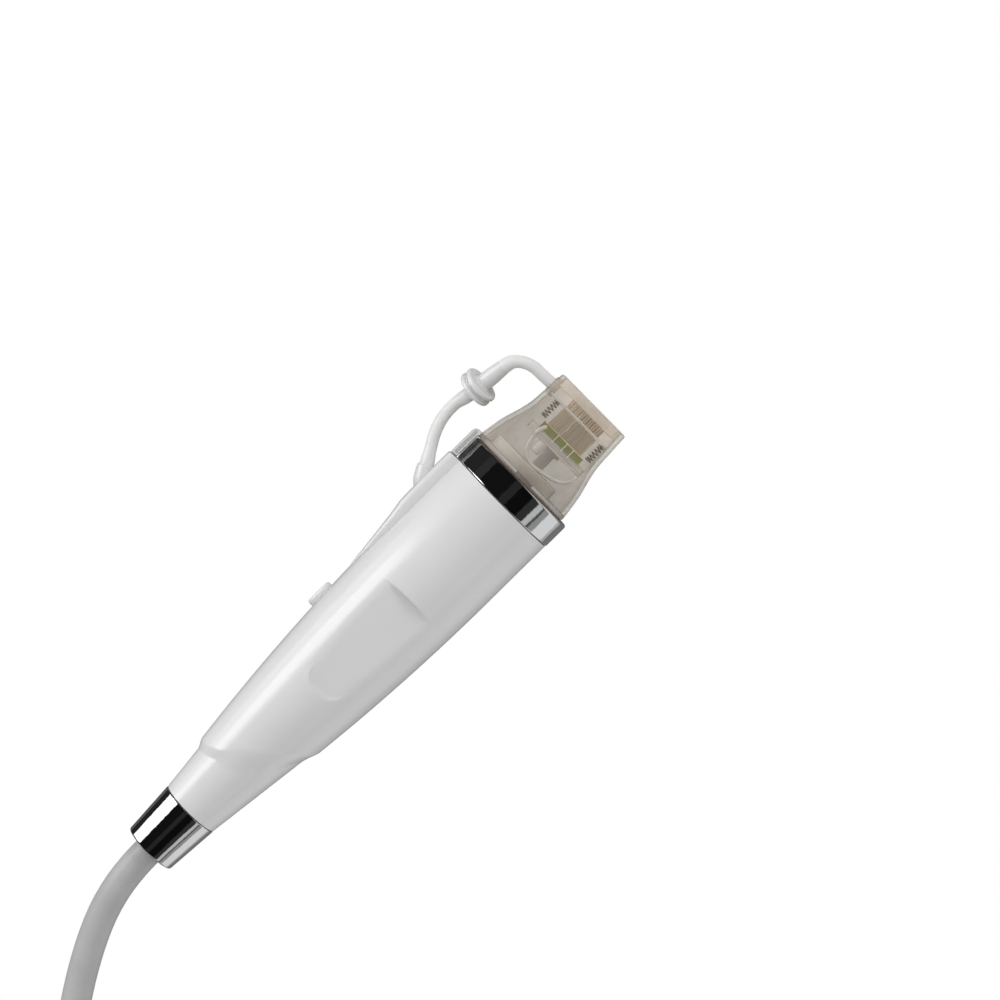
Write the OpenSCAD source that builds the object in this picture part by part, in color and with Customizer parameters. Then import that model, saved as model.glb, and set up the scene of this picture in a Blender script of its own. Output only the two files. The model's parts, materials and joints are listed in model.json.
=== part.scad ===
// Vacuum microneedling pen, held tilted, with its cartridge fitted and its cable hanging.
// Lengths are millimetres. Each piece of the pen is drawn along its own axis: +Z runs to the needle tip,
// +X is the button side and +Y is the left side. z = 0 is the middle of the seat that a holder grips.

/* [Barrel] */
// Tilt of the pen above the horizontal
pen_tilt = 45; // [0:1:90]
// Radius of the barrel at the seat and up to the head ring
barrel_r = 21.1; // [19:0.1:24]
// Radius of the long curve that narrows the barrel towards the tail
barrel_curve_r = 780; // [700:10:1200]
// Wall of the two barrel halves
wall = 2.2; // [1.6:0.1:2.8]
// Seat to the back of the head ring
front_len = 27; // [25:0.5:32]
// Seat to the front of the tail ferrule
tail_len = 121.4; // [112:0.2:132]
// Height of the moulded step between the neck and the barrel
step_h = 1.2; // [0.4:0.1:2]
// Radius of the arc that the step follows across the barrel
step_arc_r = 96; // [90:1:110]

/* [Grip and button] */
// Length of each flat grip panel
grip_len = 46; // [30:1:60]
// Width of each grip panel at its tail end
grip_w = 17; // [12:0.5:20]
// Length of the button
button_len = 9.8; // [8:0.1:14]
// Width of the button
button_w = 6; // [5:0.1:9]
// Height of the button above the barrel
button_proud = 2.05; // [1:0.05:3]
// Seat to the middle of the button
button_back = 38.6; // [34:0.2:44]
// Travel of the button
button_travel = 0.6; // [0.3:0.1:0.9]

/* [Chrome trim] */
// Length of the chrome head ring
ring_len = 9.8; // [8:0.2:14]
// How far the head ring stands proud of the barrel
ring_proud = 0.2; // [0:0.05:0.6]
// Length of the tail ferrule
ferrule_len = 19.8; // [16:0.2:26]
// Radius of the tail ferrule at its front
ferrule_front_r = 10.95; // [10.5:0.05:12.5]
// Radius of the tail ferrule at its tail
ferrule_tail_r = 9.7; // [9:0.05:10.4]

/* [Cartridge] */
// Depth that the cartridge spigot reaches into its socket
spigot_len = 9; // [7:0.5:11]
// Thickness of the head ring and the socket wall together
socket_wall = 3.6; // [3.4:0.1:5]
// Radius of the cartridge base
base_r = 20; // [18.5:0.1:20.5]
// Length of the cartridge from the head ring to its tip
head_len = 35.5; // [33:0.5:42]
// Half width of the squarish head where it begins
head_back_hw = 15.8; // [14:0.1:17]
// Half width of the squarish head at its tip
head_tip_hw = 14.8; // [13.5:0.1:16]
// Wall of the translucent cartridge shell
shell_wall = 1.5; // [1:0.1:2]

/* [Needles] */
// Rows and columns of needles
needle_rows = 8; // [4:1:8]
// Distance between rows
needle_pitch = 1.9; // [1.4:0.1:2]
// Radius of one needle
needle_r = 0.24; // [0.15:0.01:0.28]
// Greatest travel of the needles
needle_travel = 4; // [1:0.5:4]
// Lead of the drive screw for one turn
screw_lead = 1; // [0.5:0.1:2]

/* [Vacuum tube and cable] */
// Outer diameter of the vacuum tube
tube_d = 4.2; // [3.6:0.1:4.4]
// Diameter of the filter disc
filter_d = 13.2; // [11:0.1:16]
// Outer diameter of the cable
cable_d = 10.4; // [8:0.1:10.6]
// Loops of cable in the hank
hank_loops = 3; // [1:1:4]

/* [Hidden] */
$fn = 96;

function mix(a, b, t) = a + (b - a) * t;

// Clearances and small shared sizes
slip = 0.2;          // sliding fit of the cartridge in its socket
run = 0.05;          // running fit of rods, rails and plungers
air = 0.3;           // free gap between pieces that must not touch
eps = 0.01;          // overlap that keeps a cut clean
soft_edge = 1;       // rounding of moulded edges

// Stations along the pen's axis
ring_z = front_len;
head_z = ring_z + ring_len;
tip_z = head_z + head_len;
ferrule_z = -tail_len;
tail_z = ferrule_z - ferrule_len;
ring_r = barrel_r + ring_proud;

// Cartridge: its base is flush with the ring on the button side, so it lies a little off the pen's axis
spigot_r = ring_r - socket_wall - slip;
base_off = ring_r - base_r;

// Barrel: a long arc from the seat back to the step, then a straight cone to the ferrule
step_end_z = -0.61 * tail_len;
neck_front_r = ferrule_front_r - 0.05;
function barrel_at(z) = barrel_r - (z < 0 ? z * z / (2 * barrel_curve_r) : 0);
neck_end_r = barrel_at(step_end_z) - step_h;
function neck_at(z) = neck_front_r + (neck_end_r - neck_front_r) * (z - ferrule_z) / (step_end_z - ferrule_z);
// Inside of the two halves: the neck is bored a little later than it starts, so the ferrule's spigot has a root
neck_inner_z = ferrule_z + 3;
function neck_inside_at(z) =
    neck_front_r + (neck_end_r - neck_front_r) * (z - neck_inner_z) / (step_end_z - neck_inner_z) - wall;
function inside_at(z) = z < step_end_z ? neck_inside_at(z) : barrel_at(z) - wall;
// Centre of the arc that the step follows, seen from the side
step_arc_x = 51.3;
step_arc_z = step_end_z + 0.6125 * step_arc_r;
barrel_back_z = step_arc_z - step_arc_r;
barrel_steps = 14;
barrel_zs = [for (i = [0:barrel_steps]) barrel_back_z * (1 - i / barrel_steps)];

// Spigots of the barrel halves inside the ferrule and the head ring
spigot_tail_len = 9.5;
spigot_tail_r = ferrule_front_r - 1.75;
bore_tail_r = cable_d / 2 + 1.3;
gland_front_z = ferrule_z - 3.5;
lead_start_z = ferrule_z - spigot_tail_len - 0.3;
ring_wall = 1.6;
ring_bore_r = ring_r - ring_wall;

// Socket and bulkhead
bulkhead_t = 3.5;
bulkhead_z = head_z - spigot_len - 2.3 - bulkhead_t;
socket_back_z = bulkhead_z - 4.5;
socket_r = spigot_r + slip;
nose_r = ring_bore_r - 0.05;
skirt_r = barrel_r - wall - 0.05;

// Motor, screw and pusher
chassis_front_z = -20;
chassis_len = 31;
chassis_back_z = chassis_front_z - chassis_len;
chassis_room = inside_at(chassis_back_z);
chassis_bottom = -0.575 * chassis_room;
chassis_hw = 0.667 * chassis_room;
plate_t = 3;
motor_r = 0.522 * chassis_room;
motor_len = chassis_len - plate_t - 1.5;
screw_r = 1.5;
nut_z = -5;
nut_t = 8;
rail_r = 1.25;
rail_y = motor_r - 1;
pusher_r = 2;
stem_r = 2.1;
bush_r = 3.4;
pusher_tip_z = head_z - 7.1;
stem_back_z = pusher_tip_z + air;

// Button stack, from the barrel inwards: cap, switch, button board, chassis shelf
flange_t = 0.5;
cap_bottom_x = barrel_at(-button_back) - wall - 1.4;
cap_top_x = barrel_at(-button_back) + button_proud;
switch_h = 2.4;
plunger_len = 2.6;
switch_x = cap_bottom_x - plunger_len - 1.5;
small_board_t = 1.6;
chassis_top = switch_x - small_board_t;
gasket_in = 1.7;
gasket_out = 3.2;

// Control board and the parts on it, counted from the board's tail end
circuit_t = 1.6;
circuit_x = chassis_bottom - 1.1;
circuit_hw = 7.5;
circuit_back_z = chassis_back_z - 15;
circuit_front_z = chassis_front_z + 14;
connector_len = 5;
connector_h = 3.2;
chip_h = 1;
lead_r = 1.4;

// Needle carrier and what lies in front of it, counted back from the tip
plate_front_z = tip_z - 0.3;
front_plate_t = 3.4;
guide_t = 0.8;
guide_z = plate_front_z - front_plate_t - 4;
board_t = 2.4;
board_z = guide_z - needle_travel - board_t - 3.9;
carrier_t = 3;
carrier_z = board_z - carrier_t;
needle_tip_z = plate_front_z - 0.2;
needle_point = 1.2;
field_hw = needle_pitch * (needle_rows - 1) / 2;
carrier_room = base_r - base_off;
carrier_hx = 0.6524 * carrier_room;
carrier_hy = 0.46 * carrier_room;
spring_x = carrier_hx - 1.5;
spring_y = carrier_hy - 2.6;
board_hx = spring_x - 1.7;
spring_r = 0.95;
spring_wire_r = 0.16;
spring_turns = 7;
spring_seat_z = board_z + board_t + 0.7;

// Port housing
port_angle = 31;
port_mouth = [barrel_r + 5.7, 0, ring_z - 9.1];
port_depth = 3;
port_boss_r = 3.5;
port_hw = 6.6;
port_top = barrel_r + 3.6;
port_foot_len = 51;
tongue_len = 7;
tongue_t = 1.4;
tongue_w = 8;
tab_t = 2.6;
tab_w = 12.2;
elbow_r = 1.5;
elbow_bore_r = 1.7;
port_dir = [sin(port_angle), 0, cos(port_angle)];
port_floor = port_mouth - port_depth * port_dir;
elbow_knee = port_floor - 2.6 * port_dir;
barb_x = inside_at(0) - 4.7;
barb_z = elbow_knee[2] - 8.6;

// Filter: a disc with a stub at each side, tilted a little down and to the left
filter_at = [barrel_r + 12.1, 0.4, ring_z + 21.7];
filter_dip = 6.5;
filter_turn = 20;
filter_dir = [-sin(filter_dip) * cos(filter_turn), sin(filter_turn), cos(filter_dip) * cos(filter_turn)];
filter_half_t = 2.2;
filter_stub_rear = 2.6;
filter_stub_front = 10;
filter_stub_r = 2.9;

// Nipple of the cartridge, where the vacuum tube ends
nipple_y = 4.3;
nipple_z = tip_z - 5;
nipple_pocket = 2.3;
nipple_boss_r = 3.4;
nipple_top = base_off + head_tip_hw + 0.34;
nipple_floor = nipple_top - nipple_pocket;

// Routes in the pen's frame: port to filter, and filter to cartridge
filter_rear_end = filter_at - (filter_half_t + filter_stub_rear) * filter_dir;
filter_front_end = filter_at + (filter_half_t + filter_stub_front) * filter_dir;
// Each point of a tube route is a height above the barrel, a side shift and a distance from the ring's back
function above_barrel(points) = [for (p = points) p + [barrel_r, 0, ring_z]];
tube_rear_points = [[8.4, -0.3, -4.6], [11, -1, -0.2], [12.7, -1.9, 4], [13.5, -2.6, 8.3], [13.5, -2.6, 12.6]];
tube_front_points = [[9.6, 5.5, 36.4], [6.9, 5.6, 38.7]];
tube_rear_route = concat([port_floor, port_mouth], above_barrel(tube_rear_points), [filter_rear_end]);
tube_front_route = concat([filter_front_end], above_barrel(tube_front_points),
    [for (up = [8.2, 4.4]) [nipple_top + up, nipple_y + up / 9, nipple_z - up / 20]],
    [[nipple_top, nipple_y, nipple_z], [nipple_floor, nipple_y, nipple_z]]);
// Inner hose: along the wall from the elbow to the neck, and through the clamp to the gland
line_r = 1.9;
line_turn = 30;
// Farthest that the hose may lie from the axis, so that it passes under the button's gasket
line_limit = (cap_bottom_x - 0.6 - air - line_r) / cos(line_turn);
line_zs = [chassis_front_z + 6, chassis_front_z - 2, chassis_front_z - 14, chassis_front_z - 26, chassis_back_z - 3,
    chassis_back_z - 12, chassis_back_z - 24, step_end_z - 10, step_end_z - 22];
clamp_z = ferrule_z + 5;
clamp_t = 6;
clamp_hole = [4.4, -2.4];
line_route = concat([[barb_x, 0, barb_z], [barb_x, -0.6, barb_z - 4], [barb_x - 0.2, -3.4, barb_z - 11]],
    [for (z = line_zs) let (r = min(min(inside_at(z), inside_at(z + 4)) - line_r - 0.4, line_limit))
        [r * cos(line_turn), -r * sin(line_turn), z]],
    [for (z = [clamp_z + clamp_t + 4, clamp_z - 1]) [clamp_hole[0], clamp_hole[1], z]],
    [for (z = [gland_front_z - 1, lead_start_z]) [lead_r + line_r + 0.05, 0, z]]);
// Leads: from the gland through the clamp to the connector on the control board
lead_end = [circuit_x + lead_r + 0.3, 1, circuit_back_z];
lead_route = [[0, 0, lead_start_z], [0, 0, clamp_z - 4], [0, 0, clamp_z + clamp_t + 2],
    mix([0, 0, clamp_z + clamp_t + 2], lead_end, 0.3) + [0.6, 0, 0], mix([0, 0, clamp_z + clamp_t + 2], lead_end, 0.6),
    lead_end - [-0.7, 0, 9], lead_end];
// Lead loop: a share of the carrier's half length, and how far behind the carrier it hangs
loop_points = [[0.664, 0], [0.623, 2.6], [0.459, 5], [0.213, 6.3], [-0.082, 6.6], [-0.377, 6], [-0.656, 4.6],
    [-0.852, 2.5], [-0.934, 0]];
loop_route = [for (p = loop_points) [p[0] * carrier_hx, carrier_hy - 1.6, carrier_z - p[1]]];
loop_r = 0.6;

// Cable in the row's own frame: down from the tail, then a hank of like loops, drawn in at its waist
exit_back = tail_z + 0.6;
cable_exit = [cos(pen_tilt) * exit_back, 0, sin(pen_tilt) * exit_back];
drop_route = [[-105, 0, -105.4], [-110.5, 0, -112.5], [-115.4, 0, -121], [-119.4, -0.1, -131],
    [-122.6, -0.7, -142], [-124.9, -2.2, -153], [-126.8, -5.2, -164], [-128.2, -9.3, -176],
    [-128.9, -13.4, -189], [-129, -16.1, -202]];
hank_x = -97;
hank_z = -296;
hank_bend_r = 32;
hank_half = 80;
hank_waist = 14;
hank_flat = 15;
hank_pitch = 11.2;
hank_y = -16.8;
hank_steps = 24;
tail_run_end = -22;
tail_turn_z = 35;

// Plug
plug_z = hank_z + tail_run_end;
plug_y = 9;
boot_len = 34;
boot_small_r = cable_d / 2 + 1.3;
boot_big_r = 9.6;
plug_shell_len = 10;
plug_r = 10.5;
plug_barrel_r = 8.2;
plug_barrel_len = 15;
nut_r = 11.4;
nut_len = 15.5;
nut_bore_r = 9.4;

// Unit vector, and a smooth step from 0 to 1
function unit(v) = v / norm(v);
function ease(t) = (1 - cos(180 * t)) / 2;

// Rings of a tube that follows a route: ref is a direction that the route never runs along
function tangent(route, i) = unit(route[min(i + 1, len(route) - 1)] - route[max(i - 1, 0)]);
function tube_ring(p, t, r, sides, ref) = let (b = unit(cross(t, ref)), n = cross(t, b))
    [for (k = [0:sides - 1]) p + r * (cos(360 * k / sides) * b + sin(360 * k / sides) * n)];
function tube_rings(route, r, sides, ref, first, last) =
    [for (i = [0:len(route) - 1])
        tube_ring(route[i], i == 0 && first ? first : i == len(route) - 1 && last ? last : tangent(route, i),
            r, sides, ref)];

// Closed solid through a stack of rings that all have the same number of points
module skin(rings) {
    n = len(rings[0]);
    top = (len(rings) - 1) * n;
    sides = [for (i = [0:len(rings) - 2]) for (j = [0:n - 1])
        let (a = i * n + j, b = i * n + (j + 1) % n) each [[a, a + n, b + n], [a, b + n, b]]];
    caps = [for (j = [1:n - 2]) each [[0, j, j + 1], [top, top + j + 1, top + j]]];
    polyhedron(points = [for (ring = rings) each ring], faces = concat(sides, caps));
}

module hose(route, r, sides, ref = [0, 1, 0], first = undef, last = undef) {
    skin(tube_rings(route, r, sides, ref, first, last));
}

// Ring of a rounded square: squareness 2 is a circle, more is squarer
function sign_pow(c, e) = (c < 0 ? -1 : 1) * pow(abs(c), e);
function square_ring(z, hw, off, squareness, sides) =
    [for (k = [0:sides - 1]) let (a = 360 * (k + 0.5) / sides)
        [off + hw * sign_pow(cos(a), 2 / squareness), hw * sign_pow(sin(a), 2 / squareness), z]];

// Places a piece that is drawn along the pen's axis
module on_pen() {
    rotate([0, 90 - pen_tilt, 0]) rotate([0, 0, 180]) children();
}

// Turns +Z of what it draws to the direction d and moves it to p
module aim(p, d) {
    translate(p) rotate([0, acos(d[2] / norm(d)), atan2(d[1], d[0])]) children();
}

module rod(r, z0, z1) {
    translate([0, 0, z0]) cylinder(r = r, h = z1 - z0);
}

module cone(r0, r1, z0, z1) {
    translate([0, 0, z0]) cylinder(r1 = r0, r2 = r1, h = z1 - z0);
}

module collar(outer, inner, z0, z1) {
    difference() {
        rod(outer, z0, z1);
        rod(inner, z0 - eps, z1 + eps);
    }
}

module block(x0, x1, y0, y1, z0, z1) {
    translate([x0, y0, z0]) cube([x1 - x0, y1 - y0, z1 - z0]);
}

module rounded_square(w, h, r) {
    hull() {
        for (x = [-1, 1], y = [-1, 1]) translate([x * (w / 2 - r), y * (h / 2 - r)]) circle(r = r, $fn = 32);
    }
}

module slot_2d(len, w) {
    r = w / 2;
    translate([0, r - len / 2]) circle(r = r);
    translate([0, len / 2 - r]) circle(r = r);
    square([w, len - 2 * r], center = true);
}

// Barrel outside without its flats: grow moves the surface out, or in where it is negative
module barrel_body(grow = 0) {
    intersection() {
        rotate_extrude() polygon(concat([[0, barrel_back_z]],
            [for (z = barrel_zs) [barrel_at(z) + grow, z]],
            [[barrel_r + grow, ring_z], [0, ring_z]]));
        union() {
            translate([step_arc_x, 0, step_arc_z]) rotate([90, 0, 0])
                cylinder(r = step_arc_r, h = 4 * barrel_r, center = true);
            block(-2 * barrel_r, 2 * barrel_r, -2 * barrel_r, 2 * barrel_r, step_end_z / 2, ring_z + 1);
        }
    }
}

module neck_body(grow = 0) {
    cone(neck_front_r + grow, neck_end_r + grow, ferrule_z, step_end_z);
}

// Flat of one grip panel, on the +Y side: it follows the barrel's taper and ends in a bevelled wall
grip_back_z = -15.5 - grip_len;
grip_depth_back = barrel_at(grip_back_z) - sqrt(pow(barrel_at(grip_back_z), 2) - pow(grip_w / 2, 2));
grip_tilt = 2.2;
module grip_cut() {
    translate([0, barrel_at(grip_back_z) - grip_depth_back, grip_back_z]) rotate([-grip_tilt, 0, 0])
        hull() {
            translate([-grip_w * 0.7, 0, 2.6]) cube([grip_w * 1.4, 0.1, grip_len - 5]);
            translate([-grip_w * 0.8, 6, 0]) cube([grip_w * 1.6, 0.1, grip_len]);
        }
}

module handle_inside() {
    rotate_extrude() polygon([[0, ferrule_z - eps], [bore_tail_r + 0.6, ferrule_z - eps],
        [neck_inside_at(neck_inner_z), neck_inner_z], [neck_inside_at(step_end_z), step_end_z],
        [inside_at(step_end_z + 2) - 0.4, step_end_z + 2],
        for (z = barrel_zs) if (z > step_end_z + 4) [inside_at(z), z],
        [barrel_r - wall, ring_z + eps], [0, ring_z + eps]]);
}

// Whole handle skin, cut into halves by the two shell modules
module handle_skin() {
    difference() {
        union() {
            barrel_body();
            neck_body();
            collar(spigot_tail_r, bore_tail_r, ferrule_z - spigot_tail_len, ferrule_z + eps);
        }
        difference() {
            handle_inside();
            shell_ribs();
            grip_backing();
        }
        rod(bore_tail_r, ferrule_z - spigot_tail_len - 1, ferrule_z + 4);
        grip_cut();
        mirror([0, 1, 0]) grip_cut();
        button_hole(button_len + 2 * air, button_w + 2 * air);
        translate([0, 0, elbow_knee[2]]) rotate([0, 90, 0]) cylinder(r = elbow_bore_r, h = 2 * barrel_r);
    }
}

// Wall behind the grip flats, so that the skin keeps its thickness there
module grip_backing() {
    y_in = barrel_at(grip_back_z) - grip_depth_back - wall;
    for (s = [-1, 1]) scale([1, s, 1])
        translate([0, y_in, grip_back_z]) rotate([-grip_tilt, 0, 0])
            translate([-grip_w * 0.75, 0, -3]) cube([grip_w * 1.5, 2 * wall, grip_len + 6]);
}

// Ribs that hold the chassis between them, with an opening for leads and hose
module shell_ribs() {
    rib_t = 2;
    for (z = [chassis_back_z - rib_t, chassis_front_z]) difference() {
        rod(barrel_r, z, z + rib_t);
        rod(0.73 * chassis_room, z - eps, z + rib_t + eps);
        block(-barrel_r, circuit_x + 0.5, -circuit_hw - air, circuit_hw + air, z - 1, z + rib_t + 1);
        rotate(-line_turn) block(0, barrel_r - wall - eps, -line_r - 1, line_r + 1, z - 1, z + rib_t + 1);
    }
}

module button_hole(len, w) {
    translate([0, 0, -button_back]) rotate([0, 90, 0]) rotate([0, 0, 90])
        linear_extrude(2 * barrel_r) slot_2d(len, w);
}

module half_space(side) {
    block(-2 * barrel_r, 2 * barrel_r, side > 0 ? 0 : -2 * barrel_r, side > 0 ? 2 * barrel_r : 0,
        tail_z - 1, tip_z);
}

module left_shell() {
    color("white") on_pen() intersection() {
        handle_skin();
        half_space(1);
    }
}

module right_shell() {
    color("white") on_pen() intersection() {
        handle_skin();
        half_space(-1);
    }
}

// Ferrule: a tapered chrome sleeve on the tail spigot, with a rolled tail edge round the gland
module tail_ferrule() {
    color("silver") on_pen() rotate_extrude() polygon([
        [spigot_tail_r + run, ferrule_z - 0.15], [ferrule_front_r - 0.3, ferrule_z - 0.15],
        [ferrule_front_r, ferrule_z - 0.45], [ferrule_tail_r + 0.06, tail_z + soft_edge],
        [ferrule_tail_r - 0.25, tail_z + 0.3], [ferrule_tail_r - soft_edge, tail_z],
        [cable_d / 2 + 1.5, tail_z], [cable_d / 2 + 1.2, tail_z + 0.8],
        [gland_r + run, tail_z + 2.2], [gland_r + run, ferrule_z - spigot_tail_len - 0.2],
        [spigot_tail_r + run, ferrule_z - spigot_tail_len - 0.2]]);
}

gland_r = cable_d / 2 + 2.2;
module cable_gland() {
    color("dimgray") on_pen() {
        rod(cable_d / 2 + 1, exit_back, tail_z + 2.6);
        rod(gland_r, tail_z + 2.6, lead_start_z);
        collar(bore_tail_r - 0.1, lead_r + 2 * line_r + 0.2, lead_start_z, gland_front_z);
    }
}

module head_ring() {
    color("silver") on_pen() rotate_extrude() polygon([
        [ring_bore_r, ring_z + 0.1], [ring_r - 0.35, ring_z + 0.1], [ring_r, ring_z + 0.45],
        [ring_r, head_z - 0.6], [ring_r - 0.6, head_z], [ring_bore_r, head_z]]);
}

module socket_core() {
    color("whitesmoke") on_pen() difference() {
        union() {
            rod(skirt_r, socket_back_z, ring_z);
            rod(nose_r, ring_z, head_z - 0.4);
        }
        rod(skirt_r - 2, socket_back_z - 1, bulkhead_z);
        rod(socket_r, bulkhead_z + bulkhead_t, head_z + 1);
        rod(bush_r + run, bulkhead_z - 1, bulkhead_z + bulkhead_t + 1);
        for (a = contact_angles) rotate(a) translate([contact_ring_r, 0, 0])
            rod(contact_r + run, bulkhead_z - 1, bulkhead_z + bulkhead_t + 1);
        for (s = [-1, 1]) translate([0, s * rail_y, 0])
            rod(rail_r + run, bulkhead_z - 1, bulkhead_z + 2.4);
    }
}

contact_angles = [for (i = [0:5]) 30 + 60 * i];
contact_ring_r = rail_y + 3;
contact_r = 0.9;
module contact_pins() {
    color("gold") on_pen() for (a = contact_angles) rotate(a) translate([contact_ring_r, 0, 0]) {
        rod(contact_r, bulkhead_z - 2.5, bulkhead_z + bulkhead_t + 0.3);
        rod(0.55, bulkhead_z + bulkhead_t + 0.3, board_contact_z - slip);
    }
}

module pusher_bush() {
    color("goldenrod") on_pen() difference() {
        union() {
            rod(bush_r, bulkhead_z, bulkhead_z + bulkhead_t);
            rod(bush_r + 1.4, bulkhead_z - 2, bulkhead_z);
        }
        rod(pusher_r + run, bulkhead_z - 3, bulkhead_z + bulkhead_t + 1);
    }
}

// Raised housing on the barrel's top: a low hood with the slanted port and the slot for the key tab
module port_housing() {
    color("white") on_pen() difference() {
        union() {
            intersection() {
                translate([0, port_hw, 0]) rotate([90, 0, 0]) linear_extrude(2 * port_hw)
                    polygon([[0, ring_z - port_foot_len], [barrel_at(-24) - 0.1, ring_z - port_foot_len + 2],
                        [barrel_r + 1.3, ring_z - 39], [port_top - 1.2, ring_z - 30],
                        [port_top - 0.2, ring_z - 24], [port_top, ring_z - 19], [port_top, ring_z - 1.2],
                        [port_top - 0.4, ring_z - 0.5], [port_top - 1.2, ring_z - 0.15], [0, ring_z - 0.15]]);
                translate([0, 0, ring_z - port_foot_len - 1]) linear_extrude(port_foot_len + 1)
                    rounded_square(2 * port_top, 2 * port_hw, 2.4);
            }
            hull() {
                aim(port_mouth - 9 * port_dir, port_dir) cylinder(r = port_boss_r, h = 9 - 0.5, $fn = 32);
                aim(port_mouth - 9 * port_dir, port_dir) cylinder(r = port_boss_r - 0.5, h = 9, $fn = 32);
                translate([port_top - 3, 0, ring_z - 25]) rotate([0, 90, 0])
                    cylinder(r = port_boss_r + 1, h = 2, $fn = 32);
            }
        }
        barrel_body(slip / 4);
        aim(port_floor, port_dir) cylinder(r = tube_d / 2 + 0.25, h = port_depth + 1);
        aim(elbow_knee, port_dir) cylinder(r = elbow_bore_r, h = norm(port_floor - elbow_knee) + eps);
        translate(elbow_knee) sphere(r = elbow_bore_r);
        translate([barrel_r - 2, 0, elbow_knee[2]]) rotate([0, 90, 0])
            cylinder(r = elbow_bore_r, h = elbow_knee[0] - barrel_r + 2);
        block(ring_r + air - 0.1, ring_r + air + tongue_t + 0.25, -tongue_w / 2 - 0.2, tongue_w / 2 + 0.2,
            ring_z - tongue_len - 0.6, ring_z + 1);
    }
}

module vacuum_elbow() {
    color("silver") on_pen() {
        aim(elbow_knee, port_dir) cylinder(r = elbow_r, h = norm(port_floor - elbow_knee));
        translate(elbow_knee) sphere(r = elbow_r);
        translate([barb_x, 0, elbow_knee[2]]) rotate([0, 90, 0])
            cylinder(r = elbow_r, h = elbow_knee[0] - barb_x);
        translate([barb_x, 0, elbow_knee[2]]) sphere(r = elbow_r);
        translate([barb_x, 0, 0]) rod(elbow_r, barb_z, elbow_knee[2]);
    }
}

module vacuum_line() {
    color("lightgray") on_pen() hose(line_route, line_r, 10, [1, 0, 0], [0, 0, -1], [0, 0, -1]);
}

// Chassis: a block bored for the motor, with a shelf for the button board on top
module drive_chassis() {
    color("slategray") on_pen() difference() {
        block(chassis_bottom, chassis_top, -chassis_hw, chassis_hw, chassis_back_z, chassis_front_z);
        rod(motor_r + run, chassis_back_z - 1, chassis_front_z - plate_t);
        rod(screw_r + 1.2, chassis_front_z - plate_t - 1, chassis_front_z + 1);
        for (s = [-1, 1]) {
            translate([0, s * rail_y, 0]) rod(rail_r + run, chassis_front_z - plate_t + 0.5, chassis_front_z + 1);
            block(-0.48 * chassis_hw, 0.48 * chassis_hw, s * chassis_hw - 3, s * chassis_hw + 3,
                chassis_back_z + 0.2 * chassis_len, chassis_front_z - plate_t - 0.16 * chassis_len);
        }
        for (s = [-1, 1]) translate([s * screw_spot, s * screw_spot, 0])
            rod(1.05, chassis_front_z - plate_t - 1, chassis_front_z + 1);
    }
}

screw_spot = 5;
module chassis_screws() {
    color("silver") on_pen() for (s = [-1, 1]) translate([s * screw_spot, s * screw_spot, 0]) difference() {
        union() {
            rod(1, chassis_front_z - plate_t, chassis_front_z);
            rod(1.9, chassis_front_z, chassis_front_z + 1.3);
        }
        translate([0, 0, chassis_front_z + 0.6]) cylinder(r = 0.9, h = 1, $fn = 6);
    }
}

module drive_motor() {
    color("dimgray") on_pen() difference() {
        union() {
            rod(motor_r - 0.8, chassis_front_z - plate_t - motor_len, chassis_front_z - plate_t);
            rod(motor_r, chassis_front_z - plate_t - motor_len + 2, chassis_front_z - plate_t - 2);
        }
        rod(screw_r + run, chassis_front_z - plate_t - 10, chassis_front_z);
    }
}

module guide_rails() {
    color("silver") on_pen() for (s = [-1, 1]) translate([0, s * rail_y, 0])
        rod(rail_r, chassis_front_z - plate_t + 0.7, bulkhead_z + 2.2);
}

module control_board() {
    hole_in = 3;
    color("darkgreen") on_pen() difference() {
        block(circuit_x - circuit_t, circuit_x, -circuit_hw, circuit_hw, circuit_back_z, circuit_front_z);
        for (z = [circuit_back_z + hole_in, circuit_front_z - hole_in], s = [-1, 1])
            translate([circuit_x - circuit_t - 1, s * (circuit_hw - 1.8), z]) rotate([0, 90, 0])
                cylinder(r = 1, h = circuit_t + 2);
    }
}

// One part on the control board: its height, and its sides across and along the board
module chip(h, y0, y1, z0, z1) {
    block(circuit_x, circuit_x + h, y0 * circuit_hw, y1 * circuit_hw, circuit_back_z + z0, circuit_back_z + z1);
}

module board_parts() {
    circuit_len = circuit_front_z - circuit_back_z;
    row_len = 0.06 * circuit_len;
    color("black") on_pen() {
        chip(connector_h, -0.33, 0.6, 0, connector_len);
        chip(chip_h, -0.45, 0.45, 0.12 * circuit_len, 0.2 * circuit_len);
        chip(chip_h, -0.27, 0.27, 0.3 * circuit_len, 0.37 * circuit_len);
        chip(chip_h, 0.4, 0.87, 0.5 * circuit_len, 0.55 * circuit_len);
        chip(connector_h, -0.6, 0.6, 0.83 * circuit_len, 0.91 * circuit_len);
        for (i = [0:3]) chip(chip_h - 0.3, -0.87, -0.67, (4 + i) * row_len, (4.6 + i) * row_len);
    }
}

module button_board() {
    color("darkgreen") on_pen()
        block(chassis_top, chassis_top + small_board_t, -5, 5, -button_back - 7, -button_back + 7);
}

module tact_switch() {
    color("black") on_pen() difference() {
        block(switch_x, switch_x + switch_h, -3, 3, -button_back - 3, -button_back + 3);
        translate([switch_x + 0.7, 0, -button_back]) rotate([0, 90, 0]) cylinder(r = 1.75, h = switch_h);
    }
}

module switch_plunger() {
    color("white") on_pen() translate([cap_bottom_x - plunger_len, 0, -button_back]) rotate([0, 90, 0])
        cylinder(r = 1.6, h = plunger_len);
}

// Draws outwards from the button's place: +Z is away from the barrel and the slot's length is along the pen
module at_button() {
    translate([0, 0, -button_back]) rotate([0, 90, 0]) rotate([0, 0, 90]) children();
}

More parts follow.
